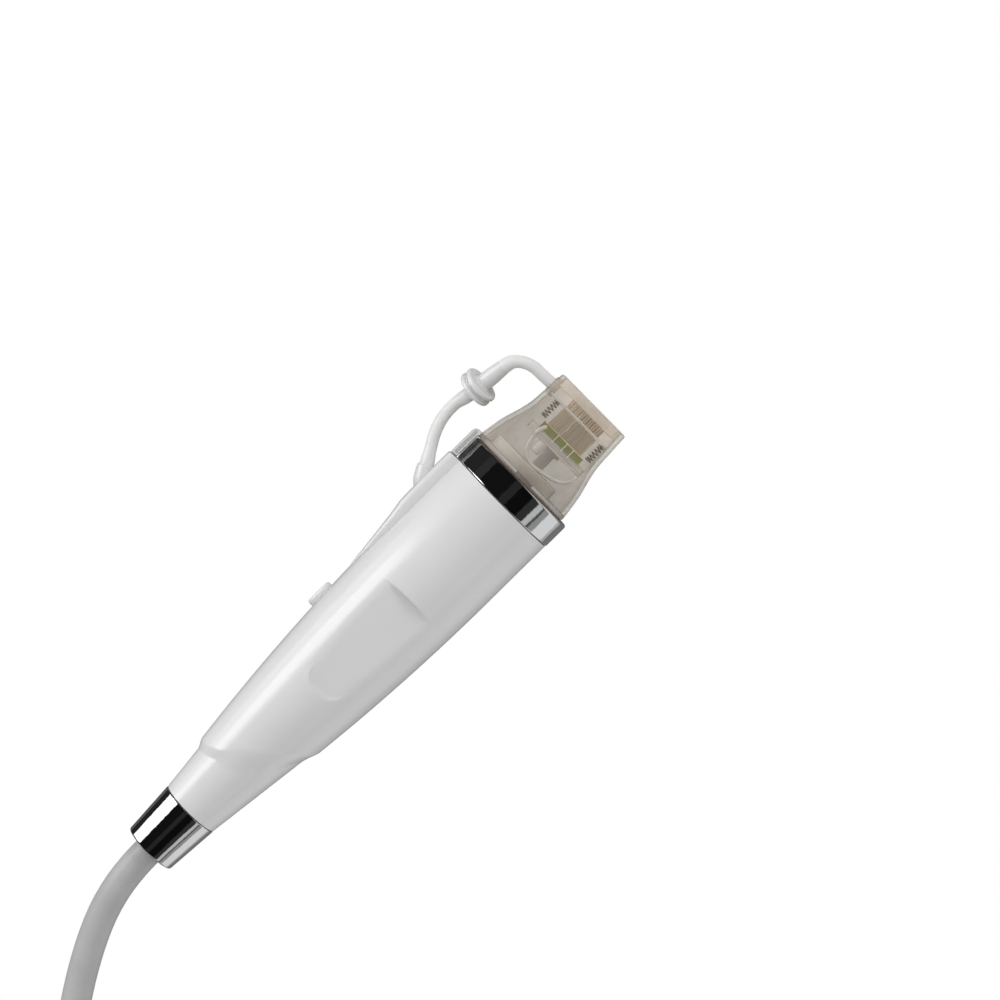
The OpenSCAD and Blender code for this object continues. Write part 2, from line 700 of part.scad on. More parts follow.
// Button: a cap with a softened top edge on a flange that stays under the wall
module button_cap() {
    top_in = 0.4;
    color("white") on_pen() at_button() {
        translate([0, 0, cap_bottom_x]) linear_extrude(cap_top_x - cap_bottom_x)
            slot_2d(button_len - 2 * top_in, button_w - 2 * top_in);
        translate([0, 0, cap_bottom_x]) linear_extrude(cap_top_x - cap_bottom_x - top_in)
            slot_2d(button_len, button_w);
        translate([0, 0, cap_bottom_x]) linear_extrude(flange_t) slot_2d(button_len + 2.4, button_w + 2.4);
    }
}

module button_gasket() {
    reach = button_len / 2 + gasket_out + 1;
    color("gray") on_pen() intersection() {
        at_button() translate([0, 0, switch_x + 2]) linear_extrude(barrel_r) difference() {
            slot_2d(button_len + 2 * gasket_out, button_w + 2 * gasket_out);
            slot_2d(button_len + 2 * gasket_in, button_w + 2 * gasket_in);
        }
        rotate_extrude() polygon([[cap_bottom_x - 0.6, -button_back - reach], [cap_bottom_x - 0.6, reach - button_back],
            [inside_at(reach - button_back) - 0.1, reach - button_back],
            [inside_at(-button_back - reach) - 0.1, -button_back - reach]]);
    }
}

module lead_bundle() {
    color("dimgray") on_pen() hose(lead_route, lead_r, 8, [0, 1, 0], [0, 0, 1], [0, 0, 1]);
}

module cable_clamp() {
    color("silver") on_pen() difference() {
        rod(inside_at(clamp_z) - run, clamp_z, clamp_z + clamp_t);
        rod(lead_r + run, clamp_z - 1, clamp_z + clamp_t + 1);
        translate([clamp_hole[0], clamp_hole[1], clamp_z]) rod(line_r + run, -1, clamp_t + 1);
    }
}

module lead_screw() {
    color("silver") on_pen() {
        rod(screw_r, chassis_front_z - plate_t - 9.8, nut_z + nut_t + 4 + needle_travel);
        rod(screw_r + 0.9, chassis_front_z + 0.3, chassis_front_z + 1.8);
    }
}

module screw_nut() {
    color("ivory") on_pen() difference() {
        union() {
            block(-4.5, 4.5, -rail_y - 3, rail_y + 3, nut_z, nut_z + nut_t);
            rod(pusher_r + 1.8, nut_z + nut_t, nut_z + nut_t + 2.5);
        }
        rod(screw_r + run, nut_z - 1, nut_z + nut_t + 4);
        for (s = [-1, 1]) translate([0, s * rail_y, 0]) rod(rail_r + run, nut_z - 1, nut_z + nut_t + 1);
    }
}

module pusher_rod() {
    tube_front = nut_z + nut_t + 5 + needle_travel;
    color("silver") on_pen() {
        difference() {
            rod(pusher_r + 1.8, nut_z + nut_t + 2.5, tube_front + 1.2);
            rod(screw_r + 0.3, nut_z + nut_t + 2, tube_front);
        }
        rod(pusher_r, tube_front + 1.2, pusher_tip_z);
    }
}

// Cartridge base: spigot, flange, stem guide and the clear key tab that bridges the head ring
base_front_z = head_z + 2;
board_contact_z = head_z - spigot_len;
module cartridge_base() {
    tab_in = ring_r + air;
    color([0.66, 0.62, 0.57, 0.6]) on_pen() difference() {
        union() {
            collar(spigot_r, spigot_r - 2.4, board_contact_z, head_z + 0.5);
            translate([base_off, 0, 0]) rod(base_r, head_z + 0.3, base_front_z);
            rod(6.5, board_contact_z + 1.4, head_z + 0.5);
            block(tab_in, tab_in + tab_t, -tab_w / 2, tab_w / 2, ring_z + 0.1, base_front_z - 1.2);
            block(tab_in, tab_in + tab_t - 1.2, -tab_w / 2, tab_w / 2, base_front_z - 1.3, base_front_z);
            translate([tab_in + tab_t - 1.2, 0, base_front_z - 1.2]) rotate([90, 0, 0])
                cylinder(r = 1.2, h = tab_w, center = true);
            block(base_off + base_r - 3, tab_in + 0.5, -tab_w / 2, tab_w / 2, head_z + 0.3, base_front_z);
            block(tab_in, tab_in + tongue_t, -tongue_w / 2, tongue_w / 2, ring_z - tongue_len, ring_z + 0.2);
        }
        rod(stem_bush_r + run, board_contact_z, base_front_z + 1);
        translate([0, 0, seal_z]) rotate_extrude() translate([spigot_r, 0]) square([1.6, 1.5], center = true);
    }
}

seal_z = head_z - spigot_len + 2.6;
seal_r = 0.45;
module spigot_seal() {
    color("dimgray") on_pen() translate([0, 0, seal_z]) rotate_extrude()
        translate([socket_r - 0.1 - seal_r, 0]) circle(r = seal_r, $fn = 24);
}

module contact_board() {
    color("goldenrod") on_pen() collar(spigot_r - 2.5, stem_bush_r + 0.4, board_contact_z, board_contact_z + 1.3);
}

stem_bush_r = 3.6;
module stem_bush() {
    color("saddlebrown") on_pen() difference() {
        union() {
            rod(stem_bush_r, board_contact_z + 1.5, base_front_z + 0.1);
            rod(stem_bush_r + 0.9, base_front_z + 0.1, base_front_z + 2);
        }
        rod(stem_r + run, board_contact_z, base_front_z + 3);
    }
}

ledge_hw = 4.2;
// Cartridge shell: round at the base, drawn in to a squarish head, open at the tip
shell_stations = [[base_front_z, base_r, 2], [base_front_z + 4.3, base_r - 0.65, 2.05],
    [base_front_z + 8.5, base_r - 1.2, 2.2], [base_front_z + 12, base_r - 2.5, 2.8],
    [base_front_z + 15, mix(base_r - 2.5, head_back_hw, 0.62), 3.6], [tip_z - 15.4, head_back_hw, 4.6],
    [tip_z - 8, mix(head_back_hw, head_tip_hw, 0.5), 5.4], [tip_z, head_tip_hw, 6]];
shell_sides = 64;
function shell_rings(inset, back, front) = [for (i = [0:len(shell_stations) - 1]) let (s = shell_stations[i])
    square_ring(s[0] + (i == 0 ? back : i == len(shell_stations) - 1 ? front : 0), s[1] - inset,
        base_off, s[2], shell_sides)];

module cartridge_shell() {
    color([0.66, 0.62, 0.57, 0.6]) on_pen() difference() {
        union() {
            difference() {
                skin(shell_rings(0, 0, 0));
                skin(shell_rings(shell_wall, -1, 1));
            }
            intersection() {
                translate([nipple_floor - 1, nipple_y, nipple_z]) rotate([0, 90, 0])
                    cylinder(r = nipple_boss_r, h = 10);
                skin(shell_rings(0.2, -1, 1));
            }
            for (s = [-1, 1]) intersection() {
                block(base_off + s * (head_tip_hw - 1) - 1.2, base_off + s * (head_tip_hw - 1) + 1.2,
                    -ledge_hw, ledge_hw, guide_z - 2, guide_z - 0.05);
                skin(shell_rings(0.4, -1, 1));
            }
        }
        translate([nipple_floor, nipple_y, nipple_z]) rotate([0, 90, 0]) cylinder(r = tube_d / 2 + 0.2, h = 10);
        translate([nipple_floor - 3, nipple_y, nipple_z]) rotate([0, 90, 0]) cylinder(r = 0.8, h = 5);
    }
}

// Places one child at each needle: every second column is moved up by half a pitch
module needle_grid() {
    for (i = [0:needle_rows - 1], j = [0:needle_rows - 1])
        translate([i * needle_pitch - field_hw + (j % 2 - 0.5) * needle_pitch / 2, j * needle_pitch - field_hw, 0])
            children();
}

module needle_holes(z0, z1, r) {
    needle_grid() translate([0, 0, z0]) cylinder(r = r, h = z1 - z0, $fn = 16);
}

// Outline of a plate that fits the inside of the shell, whose half width and squareness it is given
module plate_outline(hw, squareness) {
    polygon([for (p = square_ring(0, hw - shell_wall - plate_gap, base_off, squareness, shell_sides)) [p[0], p[1]]]);
}

plate_gap = 0.2;
module guide_plate() {
    color([0.8, 0.76, 0.68, 0.7]) on_pen() difference() {
        translate([0, 0, guide_z]) linear_extrude(guide_t) plate_outline(mix(head_back_hw, head_tip_hw, 0.5), 5.4);
        needle_holes(guide_z - 1, guide_z + guide_t + 1, needle_r + 0.14);
        nipple_room(guide_z - 1, guide_z + guide_t + 1);
    }
}

module front_plate() {
    color([0.82, 0.78, 0.72, 0.8]) on_pen() difference() {
        translate([0, 0, plate_front_z - front_plate_t]) linear_extrude(front_plate_t) plate_outline(head_tip_hw, 6);
        needle_holes(plate_front_z - front_plate_t - 1, plate_front_z + 1, needle_r + 0.14);
        nipple_room(plate_front_z - front_plate_t - 1, nipple_z + nipple_boss_r + 0.4);
    }
}

// Room for the nipple's boss in the plates
module nipple_room(z0, z1) {
    half = nipple_boss_r + 0.5;
    block(nipple_floor - 1.4, nipple_top + 1, nipple_y - half, nipple_y + half, z0, z1);
}

// Return springs: one unbroken wire each, between the carrier's posts and the guide plate
spring_len = guide_z - spring_seat_z;
function spring_point(t) = let (a = 360 * spring_turns * t)
    [spring_r * cos(a), spring_r * sin(a), spring_wire_r + (spring_len - 2 * spring_wire_r) * t];
spring_route = [for (i = [0:8 * spring_turns]) spring_point(i / (8 * spring_turns))];
module return_springs() {
    color("silver") on_pen() for (x = [-1, 1], y = [-1, 1])
        translate([x * spring_x, y * spring_y, spring_seat_z])
            hose(spring_route, spring_wire_r, 6, [0, 0, 1]);
}

module needle_carrier() {
    color([0.85, 0.84, 0.8, 0.7]) on_pen() {
        difference() {
            block(-carrier_hx, carrier_hx, -carrier_hy, carrier_hy, carrier_z, board_z);
            block(5.2 - carrier_hx, carrier_hx - 5.2, 3.1 - carrier_hy, carrier_hy - 3.1, carrier_z + 1.2, board_z + 1);
        }
        for (x = [-1, 1], y = [-1, 1]) translate([x * spring_x, y * spring_y, 0])
            rod(1.3, board_z, spring_seat_z);
    }
}

module needle_board() {
    color("olivedrab") on_pen() block(-board_hx, board_hx, -carrier_hy, carrier_hy, board_z, board_z + board_t);
}

module needles() {
    color("peru") on_pen() needle_grid() {
        translate([0, 0, board_z + board_t]) cylinder(r = needle_r, h = needle_tip_z - needle_point - board_z - board_t, $fn = 16);
        translate([0, 0, needle_tip_z - needle_point]) cylinder(r1 = needle_r, r2 = 0.03, h = needle_point, $fn = 16);
    }
}

module drive_stem() {
    color("gray") on_pen() {
        rod(stem_r, stem_back_z, carrier_z);
        rod(stem_r + 1.3, carrier_z - 1.2, carrier_z);
    }
}

module lead_loop() {
    color([0.9, 0.9, 0.88, 0.6]) on_pen() hose(loop_route, loop_r, 8, [0, 1, 0], [0, 0, -1], [0, 0, 1]);
}

module vacuum_tube_rear() {
    color("whitesmoke") on_pen() hose(tube_rear_route, tube_d / 2, 10, [0, 1, 0], port_dir, filter_dir);
}

module vacuum_tube_front() {
    color("whitesmoke") on_pen() hose(tube_front_route, tube_d / 2, 10, [0, 1, 0], filter_dir, [-1, 0, 0]);
}

module filter_rear() {
    color("white") on_pen() aim(filter_at, filter_dir) difference() {
        union() {
            rod(filter_stub_r, -filter_half_t - filter_stub_rear, -filter_half_t + 0.2);
            rotate_extrude() polygon([[0, -filter_half_t], [filter_d / 2 - 1, -filter_half_t],
                [filter_d / 2 - 0.3, -filter_half_t + 0.3], [filter_d / 2, -filter_half_t + 1],
                [filter_d / 2, -0.45], [filter_d / 2 - 0.35, -0.15], [filter_d / 2 - 0.35, 0], [0, 0]]);
        }
    }
}

module filter_front() {
    color("white") on_pen() aim(filter_at, filter_dir) {
        rod(filter_stub_r - 0.1, filter_half_t - 0.2, filter_half_t + filter_stub_front);
        rotate_extrude() polygon([[0, 0], [filter_d / 2 - 0.35, 0], [filter_d / 2 - 0.35, 0.15],
            [filter_d / 2, 0.45], [filter_d / 2, filter_half_t - 1], [filter_d / 2 - 0.3, filter_half_t - 0.3],
            [filter_d / 2 - 1, filter_half_t], [0, filter_half_t]]);
    }
}

// Half width of a hank loop at a height above the hank's middle
function hank_w(z) = abs(z) < hank_flat ? hank_waist
    : mix(hank_waist, hank_bend_r, ease((abs(z) - hank_flat) / (hank_half - hank_flat)));
// A point of the hank at t loops from its start: down the left run, round the lower bend, up the right
// run, where it climbs to the next layer, and round the upper bend
function hank_point(t) = let (k = floor(t), q = 4 * (t - k))
    [hank_x, hank_y + hank_pitch * (k + (q < 2 ? 0 : q < 3 ? ease(q - 2) : 1)), hank_z]
    + (q < 1 ? [-hank_w(mix(hank_half, -hank_half, q)), 0, mix(hank_half, -hank_half, q)]
    : q < 2 ? [-hank_bend_r * cos(180 * (q - 1)), 0, -hank_half - hank_bend_r * sin(180 * (q - 1))]
    : q < 3 ? [hank_w(mix(-hank_half, hank_half, q - 2)), 0, mix(-hank_half, hank_half, q - 2)]
    : [hank_bend_r * cos(180 * (q - 3)), 0, hank_half + hank_bend_r * sin(180 * (q - 3))]);
// Last run: from the upper bend to the middle, and down to the plug
function tail_point(t) = let (z = mix(hank_half, tail_run_end, t), y_end = hank_y + hank_pitch * hank_loops)
    [hank_x - hank_bend_r * (z < 0 ? 0 : ease(z / hank_half)),
        mix(y_end, plug_y, ease(max(0, (tail_turn_z - z) / (tail_turn_z - tail_run_end)))), hank_z + z];
hank_loop_points = [for (i = [0:hank_steps * hank_loops - 1]) hank_point(i / hank_steps)];
hank_tail_points = [for (i = [0:8]) tail_point(i / 8)];
hank_points = concat(hank_loop_points, hank_tail_points);
cable_points = concat(drop_route, hank_points);
hank_gap = min([for (i = [0:len(cable_points) - 1], j = [0:len(cable_points) - 1])
    if (j > i + 6) norm(cable_points[i] - cable_points[j])]) - cable_d;

module cable_drop() {
    start = unit(cable_exit);
    color("darkgray") hose(concat([cable_exit], drop_route, [hank_points[0]]), cable_d / 2, 12,
        [0, 1, 0], start, [0, 0, -1]);
}

module cable_hank() {
    echo(least_gap_between_turns_of_the_hank = hank_gap);
    color("darkgray") hose(hank_points, cable_d / 2, 6, [0, 1, 0], [0, 0, -1], [0, 0, -1]);
}

module cable_tie() {
    w = 2 * (hank_waist + cable_d / 2 + air);
    h = hank_pitch * hank_loops + cable_d + 2 * air;
    y_mid = hank_y + hank_pitch * hank_loops / 2;
    tie_w = 10;
    color("dimgray") translate([hank_x, y_mid, hank_z - tie_w / 2]) linear_extrude(tie_w) difference() {
        rounded_square(w + 3, h + 3, cable_d / 2 + 1.5);
        rounded_square(w, h, cable_d / 2);
    }
}

module at_plug() {
    translate([hank_x, plug_y, plug_z]) rotate([180, 0, 0]) children();
}

// Strain relief: tapered, grooved and slotted so that it bends with the cable
module plug_boot() {
    color("darkgray") at_plug() difference() {
        union() {
            cone(boot_small_r, boot_big_r, 0, boot_len - 6);
            rod(boot_big_r, boot_len - 6, boot_len);
        }
        for (i = [0:2]) translate([0, 0, 4 + 7 * i])
            collar(boot_big_r + 2, mix(boot_small_r, boot_big_r, (4 + 7 * i) / boot_len) - 0.7, 0, 1.4);
        for (i = [0:2], a = [0, 90, 180, 270]) rotate(a + 45 * (i % 2))
            translate([mix(boot_small_r, boot_big_r, (8 + 7 * i) / boot_len) - 1.6, -2.6, 6.6 + 7 * i]) cube([6, 5.2, 2.4]);
    }
}

module plug_shell() {
    color("silver") at_plug() {
        rod(plug_r, boot_len, boot_len + plug_shell_len - 1.5);
        rod(nut_bore_r - run, boot_len + plug_shell_len - 1.5, boot_len + plug_shell_len + 0.5);
        difference() {
            rod(plug_barrel_r, boot_len + plug_shell_len + 0.5, boot_len + plug_shell_len + plug_barrel_len);
            rod(plug_insert_r + run, boot_len + plug_shell_len + 4, boot_len + plug_shell_len + plug_barrel_len + 1);
        }
    }
}

plug_insert_r = 6.8;
module plug_insert() {
    color("black") at_plug() difference() {
        rod(plug_insert_r, boot_len + plug_shell_len + 4, boot_len + plug_shell_len + plug_barrel_len - 1);
        for (p = contact_spots) translate(p)
            rod(0.75 + run, boot_len + plug_shell_len + plug_barrel_len - 6, boot_len + plug_shell_len + plug_barrel_len);
    }
}

contact_spots = concat([[0, 0, 0]], [for (i = [0:7]) [4.4 * cos(45 * i), 4.4 * sin(45 * i), 0]]);
module plug_contacts() {
    color("gold") at_plug() for (p = contact_spots) translate(p)
        rod(0.75, boot_len + plug_shell_len + plug_barrel_len - 6, boot_len + plug_shell_len + plug_barrel_len - 0.5);
}

// Coupling nut: it turns freely on the plug shell, and its flutes give grip
module plug_nut() {
    back = boot_len + plug_shell_len - 1.5 + 0.2;
    color("silver") at_plug() difference() {
        union() {
            cone(nut_r - 0.7, nut_r, back, back + 0.7);
            rod(nut_r, back + 0.7, back + nut_len - 0.7);
            cone(nut_r, nut_r - 0.7, back + nut_len - 0.7, back + nut_len);
        }
        rod(nut_bore_r, back - 1, back + nut_len + 1);
        for (i = [0:23]) rotate(15 * i) translate([nut_r + 0.35, 0, 0]) rod(0.8, back + 2, back + nut_len - 4);
    }
}

left_shell();
right_shell();
tail_ferrule();
cable_gland();
head_ring();
socket_core();
contact_pins();
pusher_bush();
port_housing();
vacuum_elbow();
vacuum_line();
drive_chassis();
chassis_screws();
drive_motor();
guide_rails();
control_board();
board_parts();
button_board();
tact_switch();
button_gasket();
lead_bundle();
cable_clamp();
lead_screw();
screw_nut();
pusher_rod();
button_cap();
switch_plunger();
cartridge_base();
cartridge_shell();
contact_board();
spigot_seal();
stem_bush();
guide_plate();
front_plate();
return_springs();
needle_carrier();
needle_board();
needles();
drive_stem();
lead_loop();
vacuum_tube_rear();
filter_rear();
filter_front();
vacuum_tube_front();
cable_drop();
cable_hank();
cable_tie();
plug_boot();
plug_shell();
plug_nut();
plug_insert();
plug_contacts();
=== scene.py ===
"""Dressed model of a vacuum microneedling pen with its needle cartridge, filtered tube and cable.

Every shape is worked out in the pen's own frame in millimetres: +z runs to the needle tip, +x is the button
side and +y is the left side. `Frame.place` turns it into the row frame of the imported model, in metres.
"""

from __future__ import annotations

import json
import logging
import math
from dataclasses import dataclass
from enum import Enum

import bmesh
import bpy
import numpy as np
from mathutils import Matrix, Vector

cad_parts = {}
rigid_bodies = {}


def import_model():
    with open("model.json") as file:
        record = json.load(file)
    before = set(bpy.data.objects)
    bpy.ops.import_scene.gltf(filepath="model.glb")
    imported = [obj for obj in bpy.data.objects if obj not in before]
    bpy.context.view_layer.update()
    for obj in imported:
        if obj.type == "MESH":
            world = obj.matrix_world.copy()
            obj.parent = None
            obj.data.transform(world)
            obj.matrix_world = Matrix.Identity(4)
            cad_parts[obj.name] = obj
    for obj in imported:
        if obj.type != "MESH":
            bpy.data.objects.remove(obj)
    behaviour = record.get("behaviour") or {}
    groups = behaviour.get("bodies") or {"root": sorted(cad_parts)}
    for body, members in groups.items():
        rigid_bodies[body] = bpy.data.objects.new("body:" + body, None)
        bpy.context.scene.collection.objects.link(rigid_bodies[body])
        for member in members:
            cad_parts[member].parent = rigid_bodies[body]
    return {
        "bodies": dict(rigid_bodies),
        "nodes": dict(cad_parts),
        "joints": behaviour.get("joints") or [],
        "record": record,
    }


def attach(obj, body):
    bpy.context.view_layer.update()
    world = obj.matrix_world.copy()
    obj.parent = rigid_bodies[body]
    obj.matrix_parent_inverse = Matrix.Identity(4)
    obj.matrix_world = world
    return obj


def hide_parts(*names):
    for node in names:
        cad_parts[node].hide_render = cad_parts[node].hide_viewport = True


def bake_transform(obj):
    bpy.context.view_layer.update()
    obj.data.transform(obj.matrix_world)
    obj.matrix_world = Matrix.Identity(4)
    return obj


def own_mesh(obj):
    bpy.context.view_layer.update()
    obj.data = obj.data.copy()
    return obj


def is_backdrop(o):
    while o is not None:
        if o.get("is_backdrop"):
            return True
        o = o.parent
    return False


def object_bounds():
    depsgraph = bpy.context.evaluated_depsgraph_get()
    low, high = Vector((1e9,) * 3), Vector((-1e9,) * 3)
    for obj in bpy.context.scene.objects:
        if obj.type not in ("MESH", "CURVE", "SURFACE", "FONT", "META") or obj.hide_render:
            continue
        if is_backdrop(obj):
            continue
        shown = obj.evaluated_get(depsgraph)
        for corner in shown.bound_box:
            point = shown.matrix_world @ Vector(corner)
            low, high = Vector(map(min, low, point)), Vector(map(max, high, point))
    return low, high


LOG = logging.getLogger("pen")
MM = 0.001
HALF_TURN = math.pi
FULL_TURN = math.tau
QUARTER_TURN = math.pi / 2
DIAGONAL = math.sqrt(0.5)
CRISP = 34.0  # degrees: an edge that bends more than this stays crisp
FLOOR_GAP = 0.0005  # metres under the lowest point of the pen

Triple = tuple[float, float, float]
Rows = tuple[tuple[float, ...], ...]


# ---------------------------------------------------------------- shapes


def unit(vectors: np.ndarray) -> np.ndarray:
    """Vectors of length one along the last axis."""
    return vectors / np.linalg.norm(vectors, axis=-1, keepdims=True)


def around(count: int) -> np.ndarray:
    """Evenly spaced angles of one whole turn, from 0."""
    return np.linspace(0.0, FULL_TURN, count, endpoint=False)


def smooth_step(value: np.ndarray, low: float, high: float) -> np.ndarray:
    """Eases from 0 at low to 1 at high: 3t² − 2t³ with t held between 0 and 1."""
    t = np.clip((value - low) / (high - low), 0.0, 1.0)
    return t * t * (3.0 - 2.0 * t)


def soft_min(a: np.ndarray, b: np.ndarray, blend: float) -> np.ndarray:
    """The smaller of two surfaces, rounded over where they are less than blend apart."""
    h = np.clip(0.5 + 0.5 * (b - a) / blend, 0.0, 1.0)
    return b * (1.0 - h) + a * h - blend * h * (1.0 - h)


def soft_max(a: np.ndarray, b: np.ndarray, blend: float) -> np.ndarray:
    """The larger of two surfaces, rounded over where they are less than blend apart."""
    return -soft_min(-a, -b, blend)


def cubic(t: np.ndarray, start: np.ndarray, start_slope: np.ndarray, end: np.ndarray,
          end_slope: np.ndarray) -> np.ndarray:
    """The cubic from start to end over t from 0 to 1 that has the given slopes at its ends."""
    return ((2 * t**3 - 3 * t**2 + 1) * start + (t**3 - 2 * t**2 + t) * start_slope
            + (3 * t**2 - 2 * t**3) * end + (t**3 - t**2) * end_slope)


def read_off(rows: Rows, at: np.ndarray) -> np.ndarray:
    """The second column of a table at values of its first, straight between the rows."""
    given, value = np.array(rows, float).T
    return np.interp(at, given, value)


@dataclass(frozen=True)
class Frame:
    """Where a piece is drawn: its middle and two of its directions, in millimetres.

    Local x follows `side`, local z follows `along`, and local y is at right angles to both.
    """

    origin: Triple = (0.0, 0.0, 0.0)
    along: Triple = (0.0, 0.0, 1.0)
    side: Triple = (1.0, 0.0, 0.0)
    on_pen: bool = True

    def place(self, points: np.ndarray) -> np.ndarray:
        """Moves local points to the row frame, in metres.

        Args:
            points: array whose last axis is x, y, z.

        Returns:
            The same array of points in the row frame.
        """
        along = unit(np.array(self.along, float))
        side = np.array(self.side, float)
        side = unit(side - along * float(side @ along))
        across = np.cross(along, side)
        out = np.array(self.origin, float) + points @ np.stack([side, across, along])
        if not self.on_pen:
            return out * MM
        x, y, z = out[..., 0], out[..., 1], out[..., 2]
        return np.stack([(z - x) * DIAGONAL, -y, (z + x) * DIAGONAL], axis=-1) * MM


PEN = Frame()
ROW = Frame(on_pen=False)


@dataclass
class Patch:
    """Points and faces of one closed skin."""

    points: np.ndarray
    faces: list[list[int]]

    def inside_out(self) -> Patch:
        """The same skin as the wall of a hollow: its faces look the other way."""
        return Patch(self.points, [face[::-1] for face in self.faces])


def loft(grid: np.ndarray, closed: bool = False) -> Patch:
    """Skins rings of points, and caps the first and last ring unless the skin closes on itself.

    The faces are turned over if the volume that they enclose, the sum of a · (b × c) over them, is negative.

    Args:
        grid: rings × points × 3.
        closed: True if the last ring joins the first.

    Returns:
        A closed skin whose faces look outwards.
    """
    rows, sides = grid.shape[:2]
    index = np.arange(rows * sides).reshape(rows, sides)
    lower = index if closed else index[:-1]
    upper = np.roll(index, -1, axis=0) if closed else index[1:]
    quads = np.stack([lower, np.roll(lower, -1, 1), np.roll(upper, -1, 1), upper], axis=-1).reshape(-1, 4)
    faces = quads.tolist()
    if not closed:
        faces += [index[0][::-1].tolist(), index[-1].tolist()]
    points = grid.reshape(-1, 3)
    a, b, c, d = (points[quads[:, k]] for k in range(4))
    volume = np.sum(a * (np.cross(b, c) + np.cross(c, d)))
    if not closed:
        for ring, turn in ((grid[0], -1.0), (grid[-1], 1.0)):
            volume += turn * np.sum(ring[:1] * np.cross(ring, np.roll(ring, -1, 0)))
    if volume < 0:
        faces = [face[::-1] for face in faces]
    return Patch(points, faces)


def rectangle(low_x: float, low_y: float, high_x: float, high_y: float) -> np.ndarray:
    """Corners of an upright rectangle, anticlockwise."""
    return np.array([[low_x, low_y], [high_x, low_y], [high_x, high_y], [low_x, high_y]], float)


def soften(loop: np.ndarray, radii: np.ndarray | float, steps: int = 4) -> np.ndarray:
    """Rounds the corners of a closed outline: each becomes a parabola that touches both of its edges.

    A point stands a little outside each end of a round, so that the flat beside it stays flat when shaded.

    Args:
        loop: corners × 2.
        radii: reach of each round along its edges, held to 0.48 of the shorter edge.
        steps: points in each round.

    Returns:
        The rounded outline.
    """
    before, after = np.roll(loop, 1, 0) - loop, np.roll(loop, -1, 0) - loop
    lengths = np.minimum(np.linalg.norm(before, axis=1), np.linalg.norm(after, axis=1))
    reach = np.minimum(np.broadcast_to(radii, lengths.shape), 0.48 * lengths)[:, None]
    start, end = loop + unit(before) * reach, loop + unit(after) * reach
    t = np.linspace(0.0, 1.0, steps)[None, :, None]
    curve = (1 - t) ** 2 * start[:, None] + 2 * t * (1 - t) * loop[:, None] + t**2 * end[:, None]
    guard = np.minimum(1.5 * reach, 0.5 * (reach + 0.5 * lengths[:, None]))
    first, last = loop + unit(before) * guard, loop + unit(after) * guard
    return np.concatenate([first[:, None], curve, last[:, None]], 1).reshape(-1, 2)


def outline(rows: Rows, steps: int = 4) -> np.ndarray:
    """The rounded outline of a table of corners: (x, y, reach of the round), or (radius, height, reach)."""
    table = np.array(rows, float)
    return soften(table[:, :2], table[:, 2], steps)


def turned(profile: np.ndarray, segments: int = 128, frame: Frame = PEN, aside: np.ndarray | float = 0.0) -> Patch:
    """Turns a closed profile round the frame's axis: x = r cos a + aside, y = r sin a, z = height.

    Args:
        profile: closed loop of (radius, height).
        segments: steps round the axis.
        frame: where the piece is drawn.
        aside: how far the profile's points stand off along x.

    Returns:
        A closed skin. Where the profile touches the axis it closes in a pole.
    """
    angle = around(segments)[:, None]
    radius, height = profile[None, :, 0], np.broadcast_to(profile[None, :, 1], (segments, len(profile)))
    grid = np.stack([radius * np.cos(angle) + aside, radius * np.sin(angle), height], axis=-1)
    return loft(frame.place(grid), closed=True)


def slab(loop: np.ndarray, low: float, high: float, edge: float, frame: Frame = PEN) -> Patch:
    """A plate with rounded edges: its outline is drawn in by edge · (1 − sin t) at height edge · (1 − cos t).

    Args:
        loop: closed outline of (x, y), anticlockwise.
        low, high: faces of the plate along the frame's axis.
        edge: radius of the rounded edge.
        frame: where the piece is drawn.

    Returns:
        A closed skin.
    """
    tangent = np.roll(loop, -1, 0) - np.roll(loop, 1, 0)
    inward = unit(np.stack([-tangent[:, 1], tangent[:, 0]], axis=-1))
    t = np.linspace(0.0, QUARTER_TURN, 4)
    inset = np.concatenate([edge * (1 - np.sin(t)), edge * (1 - np.sin(t[::-1]))])
    height = np.concatenate([low + edge * (1 - np.cos(t)), high - edge * (1 - np.cos(t[::-1]))])
    flat = loop[None] + inward[None] * inset[:, None, None]
    grid = np.concatenate([flat, np.broadcast_to(height[:, None, None], (*flat.shape[:2], 1))], axis=-1)
    return loft(frame.place(grid))


def smooth_route(points: np.ndarray, spacing: float) -> np.ndarray:
    """A curve through the points, with evenly spaced stations.

    Between two points it is a cubic whose slope at each end is half the step from the point before to the
    point after, and at the two ends of the route the slope is the step itself.

    Args:
        points: stations × 3.
        spacing: distance between the stations that come back.

    Returns:
        Evenly spaced stations × 3.
    """
    slopes = np.gradient(points, axis=0)
    t = np.linspace(0.0, 1.0, 24, endpoint=False)[None, :, None]
    curve = cubic(t, points[:-1, None], slopes[:-1, None], points[1:, None], slopes[1:, None]).reshape(-1, 3)
    curve = np.concatenate([curve, points[-1:]])
    run = np.concatenate([[0.0], np.cumsum(np.linalg.norm(np.diff(curve, axis=0), axis=1))])
    at = np.linspace(0.0, run[-1], max(4, int(round(run[-1] / spacing)) + 1))
    return np.stack([np.interp(at, run, curve[:, k]) for k in range(3)], axis=-1)


